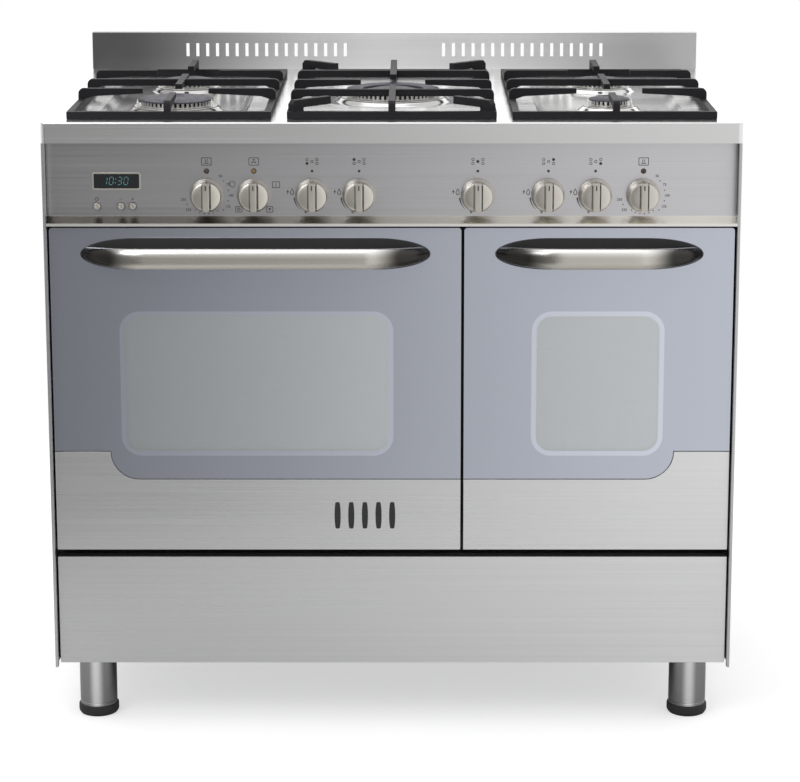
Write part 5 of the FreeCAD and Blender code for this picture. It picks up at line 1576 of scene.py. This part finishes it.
class Ink:
    """Flat marks on the fascia, gathered into one mesh."""

    def __init__(self, face: float, proud: float = 0.12) -> None:
        """Start without marks.

        Args:
            face: Y of the face that carries them, in millimetres.
            proud: thickness of a mark.
        """
        self.work = bmesh.new()
        self.face = face
        self.proud = proud

    def shape(self, outline: Sequence[Point2]) -> None:
        """Fill one outline, given as X and Z."""
        loft(self.work, [[(x, y, z) for x, z in outline] for y in (self.face, self.face - self.proud)])

    def dot(self, x: float, z: float, radius: float) -> None:
        """Filled round mark."""
        self.shape(arc((x, z), radius, 0, 345, 23))

    def line(self, points: Sequence[Point2], width: float, closed: bool = False) -> None:
        """Line of one width through some points.

        Args:
            points: its corners, as X and Z.
            width: its width.
            closed: whether it ends where it starts.
        """
        ends = list(points[1:]) + ([points[0]] if closed else [])
        for (x0, z0), (x1, z1) in zip(points, ends):
            length = math.hypot(x1 - x0, z1 - z0) or 1.0
            ax, az = (x1 - x0) / length * width / 2, (z1 - z0) / length * width / 2
            self.shape([(x0 - ax + az, z0 - az - ax), (x1 + ax + az, z1 + az - ax),
                        (x1 + ax - az, z1 + az + ax), (x0 - ax - az, z0 - az + ax)])

    def ring(self, x: float, z: float, radius: float, width: float) -> None:
        """Round line."""
        self.line(arc((x, z), radius, 0, 337.5, 15), width, closed=True)

    def frame(self, x: float, z: float, width: float, height: float, line: float) -> None:
        """Rectangle drawn as a line with round corners."""
        across, up = width / 2, height / 2
        self.line(rounded(x - across, z - up, x + across, z + up, 1.0, 3), line, closed=True)

    def words(self, text: str, x: float, z: float, size: float) -> None:
        """Short number, centred on a place.

        Args:
            text: what it says.
            x: its middle along X.
            z: height of its middle.
            size: its size, in millimetres.
        """
        curve = bpy.data.curves.new("number", "FONT")
        curve.body = text
        curve.size = size * MM
        curve.align_x, curve.align_y = "CENTER", "CENTER"
        curve.extrude = self.proud / 2 * MM
        curve.offset = 0.06 * MM
        curve.resolution_u = 3
        mesh = baked(new_object("number", curve))
        middle = Vector((x * MM, (self.face - self.proud / 2) * MM, z * MM))
        mesh.transform(Matrix.Translation(middle) @ Matrix.Rotation(math.radians(90), 4, "X"))
        self.work.from_mesh(mesh)
        bpy.data.meshes.remove(mesh)


KNOBS = {
    "main_thermostat": -239.4, "main_selector": -178.3, "tap_front_left": -103.1, "tap_rear_left": -42.3,
    "tap_centre": 111.1, "tap_rear_right": 202.3, "tap_front_right": 263.2, "side_thermostat": 325.1,
}


@dataclass
class Fascia:
    """Control panel with its print, knobs, clock, buttons and lamps.

    Args:
        face: Y of its face.
        knob_z: height of the knobs' axes.
        lamp_z: height of the lamps and of the taps' dots.
        sign_z: height of the upper symbols.
        button_z: height of the push buttons.
        buttons: name and X of each button.
    """

    face: float = -262.0
    knob_z: float = 717.5
    lamp_z: float = 749.0
    sign_z: float = 761.5
    button_z: float = 703.3
    buttons: tuple[tuple[str, float], ...] = (("clock", -381.7), ("minus", -350.6), ("plus", -335.5))

    def build(self, shop: Shop) -> None:
        """Build everything that stands on the fascia.

        Args:
            shop: holds the frame and the finishes.
        """
        self.shop = shop
        shop.soften("fascia_panel", "cooker", "stainless", "steel_fascia", 0.6)
        self.print_signs()
        self.clock()
        self.set_buttons()
        self.lamps()
        for name, x in KNOBS.items():
            self.knob(name, x)

    def print_signs(self) -> None:
        """Dots, burner and oven symbols and the thermostats' numbers."""
        ink = Ink(self.face)
        taps = ("front_left", "rear_left", "centre", "rear_right", "front_right")
        for tap in taps:
            x = KNOBS["tap_" + tap]
            ink.dot(x, self.lamp_z, 1.8)
            self.burner_sign(ink, x, tap)
            self.flame_sign(ink, x)
        for name in ("main_thermostat", "side_thermostat"):
            x = KNOBS[name]
            ink.frame(x, self.sign_z, 12.4, 9.6, 0.85)
            ink.line([(x - 3.0, self.sign_z - 2.6), (x + 3.0, self.sign_z - 2.6)], 0.8)
            for step in (-1.8, 0.6):
                ink.line([(x + step, self.sign_z - 1.6), (x + step + 1.0, self.sign_z + 0.2),
                          (x + step, self.sign_z + 1.2), (x + step + 0.9, self.sign_z + 2.8)], 0.6)
            self.degrees(ink, x)
        self.functions(ink, KNOBS["main_selector"])
        for side in (-447.9, 446.7):
            ink.shape([(side, 691.5), (side + 1.2, 691.5), (side + 1.2, 788.0), (side, 788.0)])
        self.shop.cast("fascia_print", ink.work, "print_and_painted_shade_black", "cooker", "black_plastic")

    def burner_sign(self, ink: Ink, x: float, tap: str) -> None:
        """Five small circles for the five burners, one of them filled.

        Args:
            ink: the marks to add to.
            x: its place along X, in millimetres.
            tap: name of the burner.
        """
        places = {"front_left": (-6.4, -2.6), "rear_left": (-6.4, 2.6), "centre": (0.0, 0.0),
                  "rear_right": (6.4, 2.6), "front_right": (6.4, -2.6)}
        for name, (across, up) in places.items():
            if name == tap:
                ink.dot(x + across, self.sign_z + up, 2.0)
            else:
                ink.ring(x + across, self.sign_z + up, 1.6, 0.6)

    def flame_sign(self, ink: Ink, x: float) -> None:
        """Spark, flame and the sweep from the large flame to the small one.

        Args:
            ink: the marks to add to.
            x: its place along X, in millimetres.
        """
        z = self.knob_z + 4.0
        ink.shape([(x - 32.6, z - 3.6), (x - 31.8, z + 0.2), (x - 33.4, z - 0.2), (x - 31.0, z + 3.8),
                   (x - 31.3, z + 0.9), (x - 29.9, z + 1.2)])
        for centre, size in (((x - 26.0, z), 1.0), ((x - 8.6, self.knob_z - 21.6), 0.5)):
            drop = [(0.0, 4.0), (-1.5, 1.5), (-2.1, -0.8), (-1.4, -2.8), (0.0, -3.5), (1.4, -2.8),
                    (2.1, -0.8), (1.5, 1.5)]
            ink.line([(centre[0] + a * size, centre[1] + b * size) for a, b in drop], 0.8, closed=True)
        outer = arc((x, self.knob_z), 24.6, 188, 229, 12)
        inner = [(x + (px - x) * s, self.knob_z + (pz - self.knob_z) * s)
                 for (px, pz), s in zip(outer, [0.92 + 0.072 * step / 12 for step in range(13)])]
        ink.shape(outer + list(reversed(inner)))

    def degrees(self, ink: Ink, x: float) -> None:
        """Numbers and dots of a thermostat, clockwise from the upper right.

        Args:
            ink: the marks to add to.
            x: its place along X, in millimetres.
        """
        first, between, lowest = 55.0, 14.0, -22.5
        wide, tall, dots, low_dots = 31.0, 30.5, 28.5, 24.4
        for step in range(17):
            angle = math.radians(first - step * between)
            across, up = math.cos(angle), math.sin(angle)
            if step % 2 or up * tall < lowest:
                radius = dots if up * dots > lowest else low_dots
                ink.dot(x + across * radius, self.knob_z + up * radius, 0.8)
            else:
                ink.words(str(50 + step // 2 * 25), x + across * wide, self.knob_z + up * tall, 4.7)

    def functions(self, ink: Ink, x: float) -> None:
        """Symbols round the selector, and the fan symbol above it.

        Args:
            ink: the marks to add to.
            x: its place along X, in millimetres.
        """
        z = self.knob_z
        for across, up, width, height in ((0.0, self.sign_z - z, 12.4, 9.6), (28.6, 13.8, 9.4, 7.6),
                                          (-20.0, -18.6, 8.2, 7.2), (20.0, -18.6, 8.2, 7.2)):
            ink.frame(x + across, z + up, width, height, 0.75)
        for blade in range(3):
            base = 90 + 120 * blade
            tip = arc((x, self.sign_z), 3.2, base - 24, base + 24, 4)
            ink.shape([(x, self.sign_z)] + tip)
        ink.ring(x - 20.0, z - 18.6, 1.7, 0.7)
        ink.line([(x + 28.6, z + 11.5), (x + 28.6, z + 16.0)], 0.7)
        ink.shape([(x + 18.2, z - 17.0), (x + 21.8, z - 17.0), (x + 20.0, z - 20.6)])
        mitt = [(-31.6, 17.2), (-25.4, 17.2), (-24.2, 15.4), (-25.0, 12.2), (-27.4, 10.4), (-30.2, 11.8),
                (-31.2, 14.0)]
        ink.line([(x + a, z + b) for a, b in mitt], 0.7, closed=True)
        for step in range(3):
            ink.dot(x - 30.2 + step * 2.2, z + 19.2, 0.4)

    def clock(self) -> None:
        """Lens in a bright lip, and the lit time behind it."""
        left, right, low, high = -385.8, -326.4, 726.0, 745.6
        outer = rounded(left - 1.8, low - 1.8, right + 1.8, high + 1.8, 3.0, 5)
        inner = rounded(left + 0.3, low + 0.3, right - 0.3, high - 0.3, 1.6, 4)
        self.shop.press("clock_lip", [outer, inner], (self.face + 0.6, self.face - 0.6), "nickel_knob",
                        "cooker", "stainless", edge=0.25)
        self.shop.paint("lens_black", "clock_window")
        ink = Ink(-261.0, 0.08)
        shapes = {"1": "bc", "0": "abcdef", "3": "abgcd"}
        for index, figure in enumerate("1030"):
            x = -371.0 + index * 8.2 + (2.6 if index > 1 else 0.0)
            for part in shapes[figure]:
                self.segment(ink, x, 736.0, part)
        for z in (733.6, 738.4):
            ink.dot(-357.4 + (z - 736.0) * 0.14, z, 0.5)
        self.shop.cast("clock_time", ink.work, "digit_glow", "cooker", "display_lens")

    def segment(self, ink: Ink, x: float, z: float, part: str) -> None:
        """One of the seven slanted bars of a figure.

        Args:
            ink: the marks to add to.
            x: the figure's middle along X.
            z: height of the figure's middle.
            part: its letter, from a to g.
        """
        half, rise, thick, gap, slant = 2.5, 4.9, 0.24, 0.5, 0.14
        ends = {"a": (-1, 1, 1, 1), "b": (1, 1, 1, 0), "c": (1, 0, 1, -1), "d": (-1, -1, 1, -1),
                "e": (-1, 0, -1, -1), "f": (-1, 1, -1, 0), "g": (-1, 0, 1, 0)}[part]
        ax, az, bx, bz = [end * size for end, size in zip(ends, (half, rise, half, rise))]
        length = math.hypot(bx - ax, bz - az)
        ux, uz = (bx - ax) / length, (bz - az) / length
        points = []
        for along, aside in ((gap, 0), (2 * gap, thick), (length - 2 * gap, thick), (length - gap, 0),
                             (length - 2 * gap, -thick), (2 * gap, -thick)):
            across, up = ax + ux * along - uz * aside, az + uz * along + ux * aside
            points.append((x + across + up * slant, z + up))
        ink.shape(points)

    def set_buttons(self) -> None:
        """Domed push buttons with their signs above."""
        ink = Ink(self.face)
        for name, x in self.buttons:
            work = bmesh.new()
            lathe(work, [(0.0, 258.7), (4.75, 258.7), (4.75, 267.2), (4.5, 268.2), (3.9, 268.8), (3.0, 269.0),
                         (1.5, 268.8), (0.0, 268.7)], (x, 0.0, self.button_z), "y", 40)
            body = "button_" + name
            self.shop.cast("cap_" + name, work, "nickel_knob", body, "satin_nickel", body)
            z = self.button_z + 9.2
            ink.ring(x, self.button_z, 5.6, 0.35)
            if name == "clock":
                ink.ring(x, z, 2.3, 0.5)
                ink.line([(x, z + 1.4), (x, z), (x + 1.0, z - 0.6)], 0.4)
            else:
                ink.line([(x - 1.6, z), (x + 1.6, z)], 0.6)
            if name == "plus":
                ink.line([(x, z - 1.6), (x, z + 1.6)], 0.6)
        self.shop.cast("button_signs", ink.work, "print_and_painted_shade_black", "cooker", "black_plastic")

    def lamps(self) -> None:
        """Pilot lamps: a dark bezel and a domed lens, the selector's one lit amber."""
        lenses = {"lamp_dark": ("main_thermostat", "side_thermostat"), "lamp_amber": ("main_selector",)}
        rims = bmesh.new()
        for finish, owners in lenses.items():
            work = bmesh.new()
            for owner in owners:
                place = (KNOBS[owner], 0.0, self.lamp_z)
                lathe(work, [(0.0, 261.0), (2.7, 261.0), (2.7, 262.7), (2.2, 263.2), (1.2, 263.5),
                             (0.0, 263.6)], place, "y", 32)
                lathe(rims, [(2.7, 261.0), (3.5, 261.0), (3.5, 262.5), (3.2, 263.0), (2.7, 262.9)], place,
                      "y", 32)
            nodes = ("indicator_lamps",) if finish == "lamp_dark" else ()
            self.shop.cast(finish + "_lens", work, finish, "cooker", "lamp_lens", *nodes)
        self.shop.cast("lamp_rims", rims, "black_plastic", "cooker", "black_plastic")

    def dome(self, reach: float) -> float:
        """How far the knob's domed face stands out at a distance from its middle.

        Args:
            reach: the distance.

        Returns:
            How far it stands out.
        """
        places = ((0.0, 280.6), (6.0, 280.5), (12.0, 280.2), (16.6, 279.5), (18.4, 278.7))
        for (near, tall), (far, low) in zip(places, places[1:]):
            if reach <= far:
                return tall + (low - tall) * (reach - near) / (far - near)
        return places[-1][1]

    def knob(self, name: str, x: float) -> None:
        """Turned knob with a raised grip bar, a pointer line and painted shade strips beside the bar.

        Args:
            name: the knob's name.
            x: its axis along X.
        """
        z = self.knob_z
        work = bmesh.new()
        lathe(work, [(0.0, 262.3), (20.2, 262.3), (20.2, 263.3), (21.5, 263.5), (21.8, 264.0), (21.8, 265.2),
                     (21.4, 266.4), (20.7, 270.5), (20.0, 275.0), (19.4, 277.4), (18.4, 278.7), (16.6, 279.5),
                     (12.0, 280.2), (6.0, 280.5), (0.0, 280.6)], (x, 0.0, z), "y", FULL_ROUND)
        rings = []
        for grow, y in ((0.6, -276.0), (0.6, -279.6), (0.25, -281.0), (0.0, -283.5), (-0.25, -284.8),
                        (-0.7, -285.35), (-1.3, -285.5)):
            rings.append([(a, y, b) for a, b in rounded(x - 4.5 - grow, z - 18.6 - grow * 0.3, x + 4.5 + grow,
                                                         z + 18.6 + grow * 0.3, 1.8, 5)])
        loft(work, rings)
        body = "knob_" + name
        self.shop.cast("grip_" + name, work, "nickel_knob", body, "satin_nickel", body, sharp=28.0)
        ink = Ink(-285.45, 0.12)
        ink.shape(rounded(x - 0.8, z + 9.3, x + 0.8, z + 15.8, 0.6, 3))
        # Painted shade: dark strips on the face either side of the grip bar, standing in for the shadow along
        # its edges; wider on the right.
        for side in (-1, 1):
            painted_shade_rows = []
            for step in range(15):
                up = -17.5 + 35.0 * step / 14
                level = -self.dome(math.hypot(5.5, up)) - 0.08
                wide = 6.4 if side > 0 else 5.8
                painted_shade_rows.append([(x + side * 5.0, level, z + up), (x + side * wide, level, z + up),
                             (x + side * wide, level + 0.3, z + up), (x + side * 5.0, level + 0.3, z + up)])
            loft(ink.work, painted_shade_rows)
        self.shop.cast("pointer_and_painted_shade_" + name, ink.work, "print_and_painted_shade_black", body, "black_plastic")


@dataclass(frozen=True)
class DoorPlan:
    """Sizes of one oven door.

    Args:
        name: the door's body.
        left: its left edge.
        right: its right edge.
        shoulder: 1 where the cover's high shoulder is at the right, or -1.
        grip: left and right foot of the handle.
        glass: finish of the outer glass.
    """

    name: str
    left: float
    right: float
    shoulder: int
    grip: Point2
    glass: str


@dataclass
class Doors:
    """The two oven doors.

    Args:
        plans: what differs between them.
        low: height of the covers' lower edge.
        shelf: height of their upper edge.
        shoulder_top: height of their high shoulder.
        shoulder_wide: from the door's edge to the middle of the hollow curve.
        hollow: radius of that curve.
        cover_front: Y of the covers' face.
        glass_front: Y of the outer glass's face.
        handle_z: height of the handles.
        foot: Y of the handles' feet.
        crest: Y of the middle of the bars.
        bend: radius of their bends.
    """

    plans: tuple[DoorPlan, ...] = (
        DoorPlan("main_door", -444.0, 90.0, -1, (-393.0, 39.0), "main_glass_tint"),
        DoorPlan("side_door", 93.9, 444.0, 1, (144.9, 393.0), "side_glass_tint"))
    low: float = 243.0
    shelf: float = 339.0
    shoulder_top: float = 377.0
    shoulder_wide: float = 111.0
    hollow: float = 38.0
    cover_front: float = -272.0
    glass_front: float = -271.0
    handle_z: float = 642.0
    foot: float = -273.0
    crest: float = -309.0
    bend: float = 96.0

    def build(self, shop: Shop) -> None:
        """Dress both doors.

        Args:
            shop: holds the frame and the finishes.
        """
        self.shop = shop
        for plan in self.plans:
            name = plan.name
            shop.paint(plan.glass, name + "_glass")
            shop.paint("pane_glass", name + "_inner_glass")
            shop.paint("frame_enamel", name + "_frame")
            self.cover(plan)
            self.handle(plan)
            self.backing(plan)

    def outline(self, plan: DoorPlan, grow: float) -> list[Point2]:
        """Outline of the lower cover: high at its shoulder, then a hollow quarter round down to its shelf.

        Args:
            plan: the door's sizes.
            grow: how far the upper edge moves up.

        Returns:
            The outline.
        """
        outer, inner = (plan.right, plan.left) if plan.shoulder > 0 else (plan.left, plan.right)
        sign, bow = plan.shoulder, self.hollow - grow
        points = [(inner, self.low), (outer, self.low), (outer, self.shoulder_top + grow)]
        curve = arc((0.0, self.shoulder_top), bow, 0, -90, 12)
        middle = outer - sign * self.shoulder_wide
        points.append((middle + sign * bow, self.shoulder_top + grow))
        points += [(middle + sign * a, b) for a, b in curve]
        points.append((inner, self.shelf + grow))
        return points if sign > 0 else list(reversed(points))

    def cover(self, plan: DoorPlan) -> None:
        """Brushed cover with a dark seam above it, and the main door's five barrel slots.

        Args:
            plan: the door's sizes.
        """
        shop, name = self.shop, plan.name
        shop.press(name + "_cover_seam", [self.outline(plan, 0.9)],
                   (self.glass_front, self.glass_front - 0.35), "black_plastic", name, "black_plastic")
        outlines = [self.outline(plan, 0.0)]
        if plan.shoulder < 0:
            outlines += [self.barrel(-36.3 + number * 18.05, 290.0) for number in range(-2, 3)]
        shop.press(name + "_cover_sheet", outlines, (self.glass_front, self.cover_front), "steel_cover", name,
                   "stainless", name + "_cover", edge=0.25)

    def barrel(self, x: float, z: float) -> list[Point2]:
        """Slot with bulging sides and flat rounded ends.

        Args:
            x: its place along X, in millimetres.
            z: its height, in millimetres.

        Returns:
            The outline.
        """
        half, tall, pinch = 4.0, 18.25, 1.3
        side = [(half - pinch * abs(step / 6) ** 2.5, tall * step / 6 * 0.97) for step in range(-6, 7)]
        cap = [(1.2, tall), (-1.2, tall)]
        points = side + cap + [(-a, b) for a, b in reversed(side)] + [(-a, -b) for a, b in cap]
        return [(x + a, z + b) for a, b in points]

    def backing(self, plan: DoorPlan) -> None:
        """Dark plate behind the handle, with long oval ends.

        Args:
            plan: the door's sizes.
        """
        reach, rise = 71.0, 20.5
        left, right = plan.grip[0] - 11.0, plan.grip[1] + 11.0
        turns = [(right - reach, turn) for turn in range(-90, 91, 6)]
        turns += [(left + reach, turn) for turn in range(90, 271, 6)]
        outline = [(centre + reach * math.cos(math.radians(turn)),
                    self.handle_z + rise * math.sin(math.radians(turn))) for centre, turn in turns]
        self.shop.press(plan.name + "_grip_plate", [outline], (self.glass_front, self.foot), "black_plastic",
                        plan.name, "black_plastic", plan.name + "_handle_plate", edge=0.3)

    def handle(self, plan: DoorPlan) -> None:
        """Bowed bar of oval section that thins towards its feet.

        Args:
            plan: the door's sizes.
        """
        left, right = plan.grip
        turn = math.acos(1 - (self.foot - self.crest) / self.bend)
        reach = self.bend * math.sin(turn)
        leans = [turn * (1 - step / 12) * 0.9 for step in range(13)]
        path = [(left + reach - self.bend * math.sin(lean), self.crest + self.bend * (1 - math.cos(lean)),
                 lean) for lean in leans]
        start, end = left + reach, right - reach
        path += [(start + (end - start) * step / 12, self.crest, 0.0) for step in range(1, 12)]
        path += [(left + right - x, y, -lean) for x, y, lean in reversed(path[:13])]
        thick, thin = 13.5, 9.5
        rings = [self.oval(x, y, lean, thick - (thick - thin) * (lean / turn) ** 2) for x, y, lean in path]
        feet = [[(x + (y - self.foot) / math.tan(lean), self.foot, z)
                 for x, y, z in self.oval(place, self.foot, lean, thin)]
                for place, lean in ((left, turn), (right, -turn))]
        work = bmesh.new()
        loft(work, [feet[0], *rings, feet[1]])
        name = plan.name
        self.shop.cast(name + "_bar", work, "nickel_bar", name, "satin_nickel", name + "_handle", sharp=40.0)

    def oval(self, x: float, y: float, lean: float, tall: float) -> list[tuple[float, float, float]]:
        """Section of the bar about a point, leaning back by an angle.

        Args:
            x: the point along X.
            y: the point along Y.
            lean: the angle, in radians.
            tall: half of its height.

        Returns:
            The points of the section.
        """
        ring = []
        for step in range(48):
            a = 2 * math.pi * step / 48
            across = 7.0 * math.copysign(abs(math.cos(a)) ** 0.9, math.cos(a))
            up = tall * math.copysign(abs(math.sin(a)) ** 0.95, math.sin(a))
            ring.append((x - across * math.sin(lean), y - across * math.cos(lean), self.handle_z + up))
        return ring


@dataclass
class Body:
    """Outer shell: side panels, storage flap, base and legs."""

    legs: tuple[Point2, ...] = ((-400.0, -224.0), (400.0, -224.0), (-400.0, 256.0), (400.0, 256.0))

    def build(self, shop: Shop) -> None:
        """Dress the shell.

        Args:
            shop: holds the frame and the finishes.
        """
        for side in ("left", "right"):
            shop.soften("side_panel_" + side, "cooker", "stainless", "steel_deep", 0.5)
        shop.soften("storage_flap", "storage_flap", "stainless", "steel_cover", 0.6)
        shop.paint("zinc_sheet", "base_tray", "hinge_arms")
        shop.paint("frame_enamel", "front_frame")
        tubes, pads = bmesh.new(), bmesh.new()
        for x, y in self.legs:
            lathe(tubes, [(23.5, 14.0), (24.6, 14.0), (25.0, 14.5), (25.0, 17.6), (24.6, 18.0), (24.6, 18.5),
                          (25.0, 18.9), (25.0, 77.8), (24.5, 78.2), (24.5, 78.8), (25.0, 79.2), (25.0, 83.0),
                          (23.5, 83.0)], (x, y, 0.0), segments=FULL_ROUND)
            lathe(pads, [(0.0, 0.4), (21.5, 0.4), (22.0, 0.0), (23.6, 0.0), (24.6, 0.5), (26.6, 3.4),
                         (27.0, 4.6), (27.0, 12.2), (26.5, 13.4), (25.6, 14.0), (0.0, 14.0)], (x, y, 0.0),
                  segments=FULL_ROUND)
        shop.cast("leg_sleeves", tubes, "leg_chrome", "cooker", "chrome_plate", "leg_tubes")
        shop.cast("leg_pads", pads, "pad_rubber", "cooker", "pad_rubber", "foot_pads")


@dataclass
class Ovens:
    """What is inside the two ovens and round them.

    Args:
        shelves: name, middle, half width, height and number of wires of each shelf.
        front: front of the shelves.
        depth: depth of the shelves.
        pitch: from one wire to the next.
    """

    shelves: tuple[tuple[str, float, float, float, int], ...] = (
        ("main", -177.0, 207.5, 363.0, 13), ("side", 268.95, 112.5, 425.0, 7))
    front: float = -207.0
    depth: float = 325.0
    pitch: float = 30.0

    def build(self, shop: Shop) -> None:
        """Dress the ovens.

        Args:
            shop: holds the frame and the finishes.
        """
        shop.paint("oven_enamel", "main_oven_cavity", "side_oven_cavity", "fan_cover")
        shop.paint("wire_chrome", "shelf_runners")
        shop.paint("element_sheath", "oven_elements")
        shop.paint("lamp_glass", "oven_lamps")
        shop.paint("seal_braid", "door_seals")
        shop.paint("wool_blanket", "oven_insulation")
        shop.paint("zinc_sheet", "fan_motor", "fan_impeller")
        shop.paint("black_plastic", "oven_switches", "clock_module")
        shop.paint("rail_alloy", "gas_rail")
        wire = shop.finish["wire_chrome"]
        pieces = []
        for name, centre, half, level, wires in self.shelves:
            unit = bmesh.new()
            self.rod(unit, (0.0, 0.0, 0.0), (0.0, self.depth, 0.0), 1.5, 10)
            start = (centre - (wires - 1) / 2 * self.pitch, self.front, level)
            pieces.append(shop.row.bake(name + "_shelf_wires", unit, wires, start, wire,
                                        step=(self.pitch, 0.0, 0.0)))
            frame = bmesh.new()
            left, right = centre - half, centre + half
            back = self.front + self.depth
            for a, b in (((left, self.front), (right, self.front)), ((left, back), (right, back)),
                         ((left, self.front), (left, back)), ((right, self.front), (right, back))):
                self.rod(frame, (*a, level), (*b, level), 3.0, 18)
            for x in (left, right):
                for y in (self.front, back):
                    lathe(frame, [(0.0, -3.0), (1.6, -2.54), (2.6, -1.5), (3.0, 0.0), (2.6, 1.5), (1.6, 2.54),
                                  (0.0, 3.0)], (x, y, level), segments=18)
            pieces.append(finished(name + "_shelf_frame", tidy_up(frame), wire))
        shop.fit(joined("wire_shelves", pieces, wire), "cooker", "chrome_plate", "oven_shelves")

    def rod(self, work: bmesh.types.BMesh, start: Sequence[float], end: Sequence[float], radius: float,
            sides: int) -> None:
        """Straight round rod along X or Y.

        Args:
            work: the mesh to add to.
            start: one end, in millimetres.
            end: the other end.
            radius: its radius.
            sides: steps round it.
        """
        along_x = abs(end[0] - start[0]) > abs(end[1] - start[1])
        rings = []
        for point in (start, end):
            ring = []
            for step in range(sides):
                a = 2 * math.pi * step / sides
                across, up = radius * math.cos(a), radius * math.sin(a)
                ring.append((point[0], point[1] + across, point[2] + up) if along_x
                            else (point[0] + across, point[1], point[2] + up))
            rings.append(ring)
        loft(work, rings)


@dataclass
class Back:
    """Rear panel, its screws, the terminal box and the gas inlet's thread.

    Args:
        screw_side: how far the screws stand from the middle.
        screw_rows: height of the lowest and of the highest screw.
        inlet: where the thread's first turn is.
    """

    screw_side: float = 439.0
    screw_rows: Point2 = (133.0, 738.2)
    inlet: Point3 = (380.0, 293.0, 717.5)

    def build(self, shop: Shop) -> None:
        """Dress the back.

        Args:
            shop: holds the frame and the finishes.
        """
        shop.paint("zinc_sheet", "rear_panel")
        shop.soften("terminal_box", "cooker", "black_plastic", "black_plastic", 1.2)
        alloy, (low, high) = shop.finish["rail_alloy"], self.screw_rows
        screws = [shop.row.bake(f"screws_{side}", self.screw(), 4, (side * self.screw_side, 0.0, low), alloy,
                                step=(0.0, 0.0, (high - low) / 3)) for side in (-1, 1)]
        shop.fit(joined("rear_screws", screws, alloy), "cooker", "chrome_plate", "panel_screws")
        work = bmesh.new()
        lathe(work, [(10.3, -0.8), (10.9, -0.15), (10.9, 0.15), (10.3, 0.8)], (0.0, 0.0, 0.0), "y", 40)
        thread = shop.row.bake("inlet_thread", tidy_up(work), 12, self.inlet, alloy, step=(0.0, 1.9, 0.0))
        shop.fit(thread, "cooker", "rail_alloy")

    def screw(self) -> bmesh.types.BMesh:
        """Pan-head screw that points to the front.

        Returns:
            Its mesh.
        """
        work = bmesh.new()
        lathe(work, [(0.0, -304.5), (2.0, -304.5), (2.0, -313.5), (4.0, -313.5), (3.9, -314.6), (3.2, -315.4),
                     (2.0, -315.7), (0.0, -315.7)], (0.0, 0.0, 0.0), "y", 24)
        return tidy_up(work)


def main() -> None:
    """Load the frame, build each sub-assembly and log the CAD nodes that show without a finish of their own.
    """
    logging.basicConfig(level=logging.INFO, format="%(name)s: %(message)s")
    shop = Shop()
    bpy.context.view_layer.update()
    Studio().build()
    for assembly in (Hob(), PanSupports(), Fascia(), Doors(), Body(), Ovens(), Back()):
        LOG.info("building %s", type(assembly).__name__)
        assembly.build(shop)
    bare = [name for name, node in shop.frame["nodes"].items()
            if not any(slot.material in shop.finish.values() for slot in node.material_slots)]
    shown = [name for name in bare if not shop.frame["nodes"][name].hide_render]
    LOG.info("CAD nodes that show without a finish of their own: %s", shown)


if __name__ == "__main__":
    main()
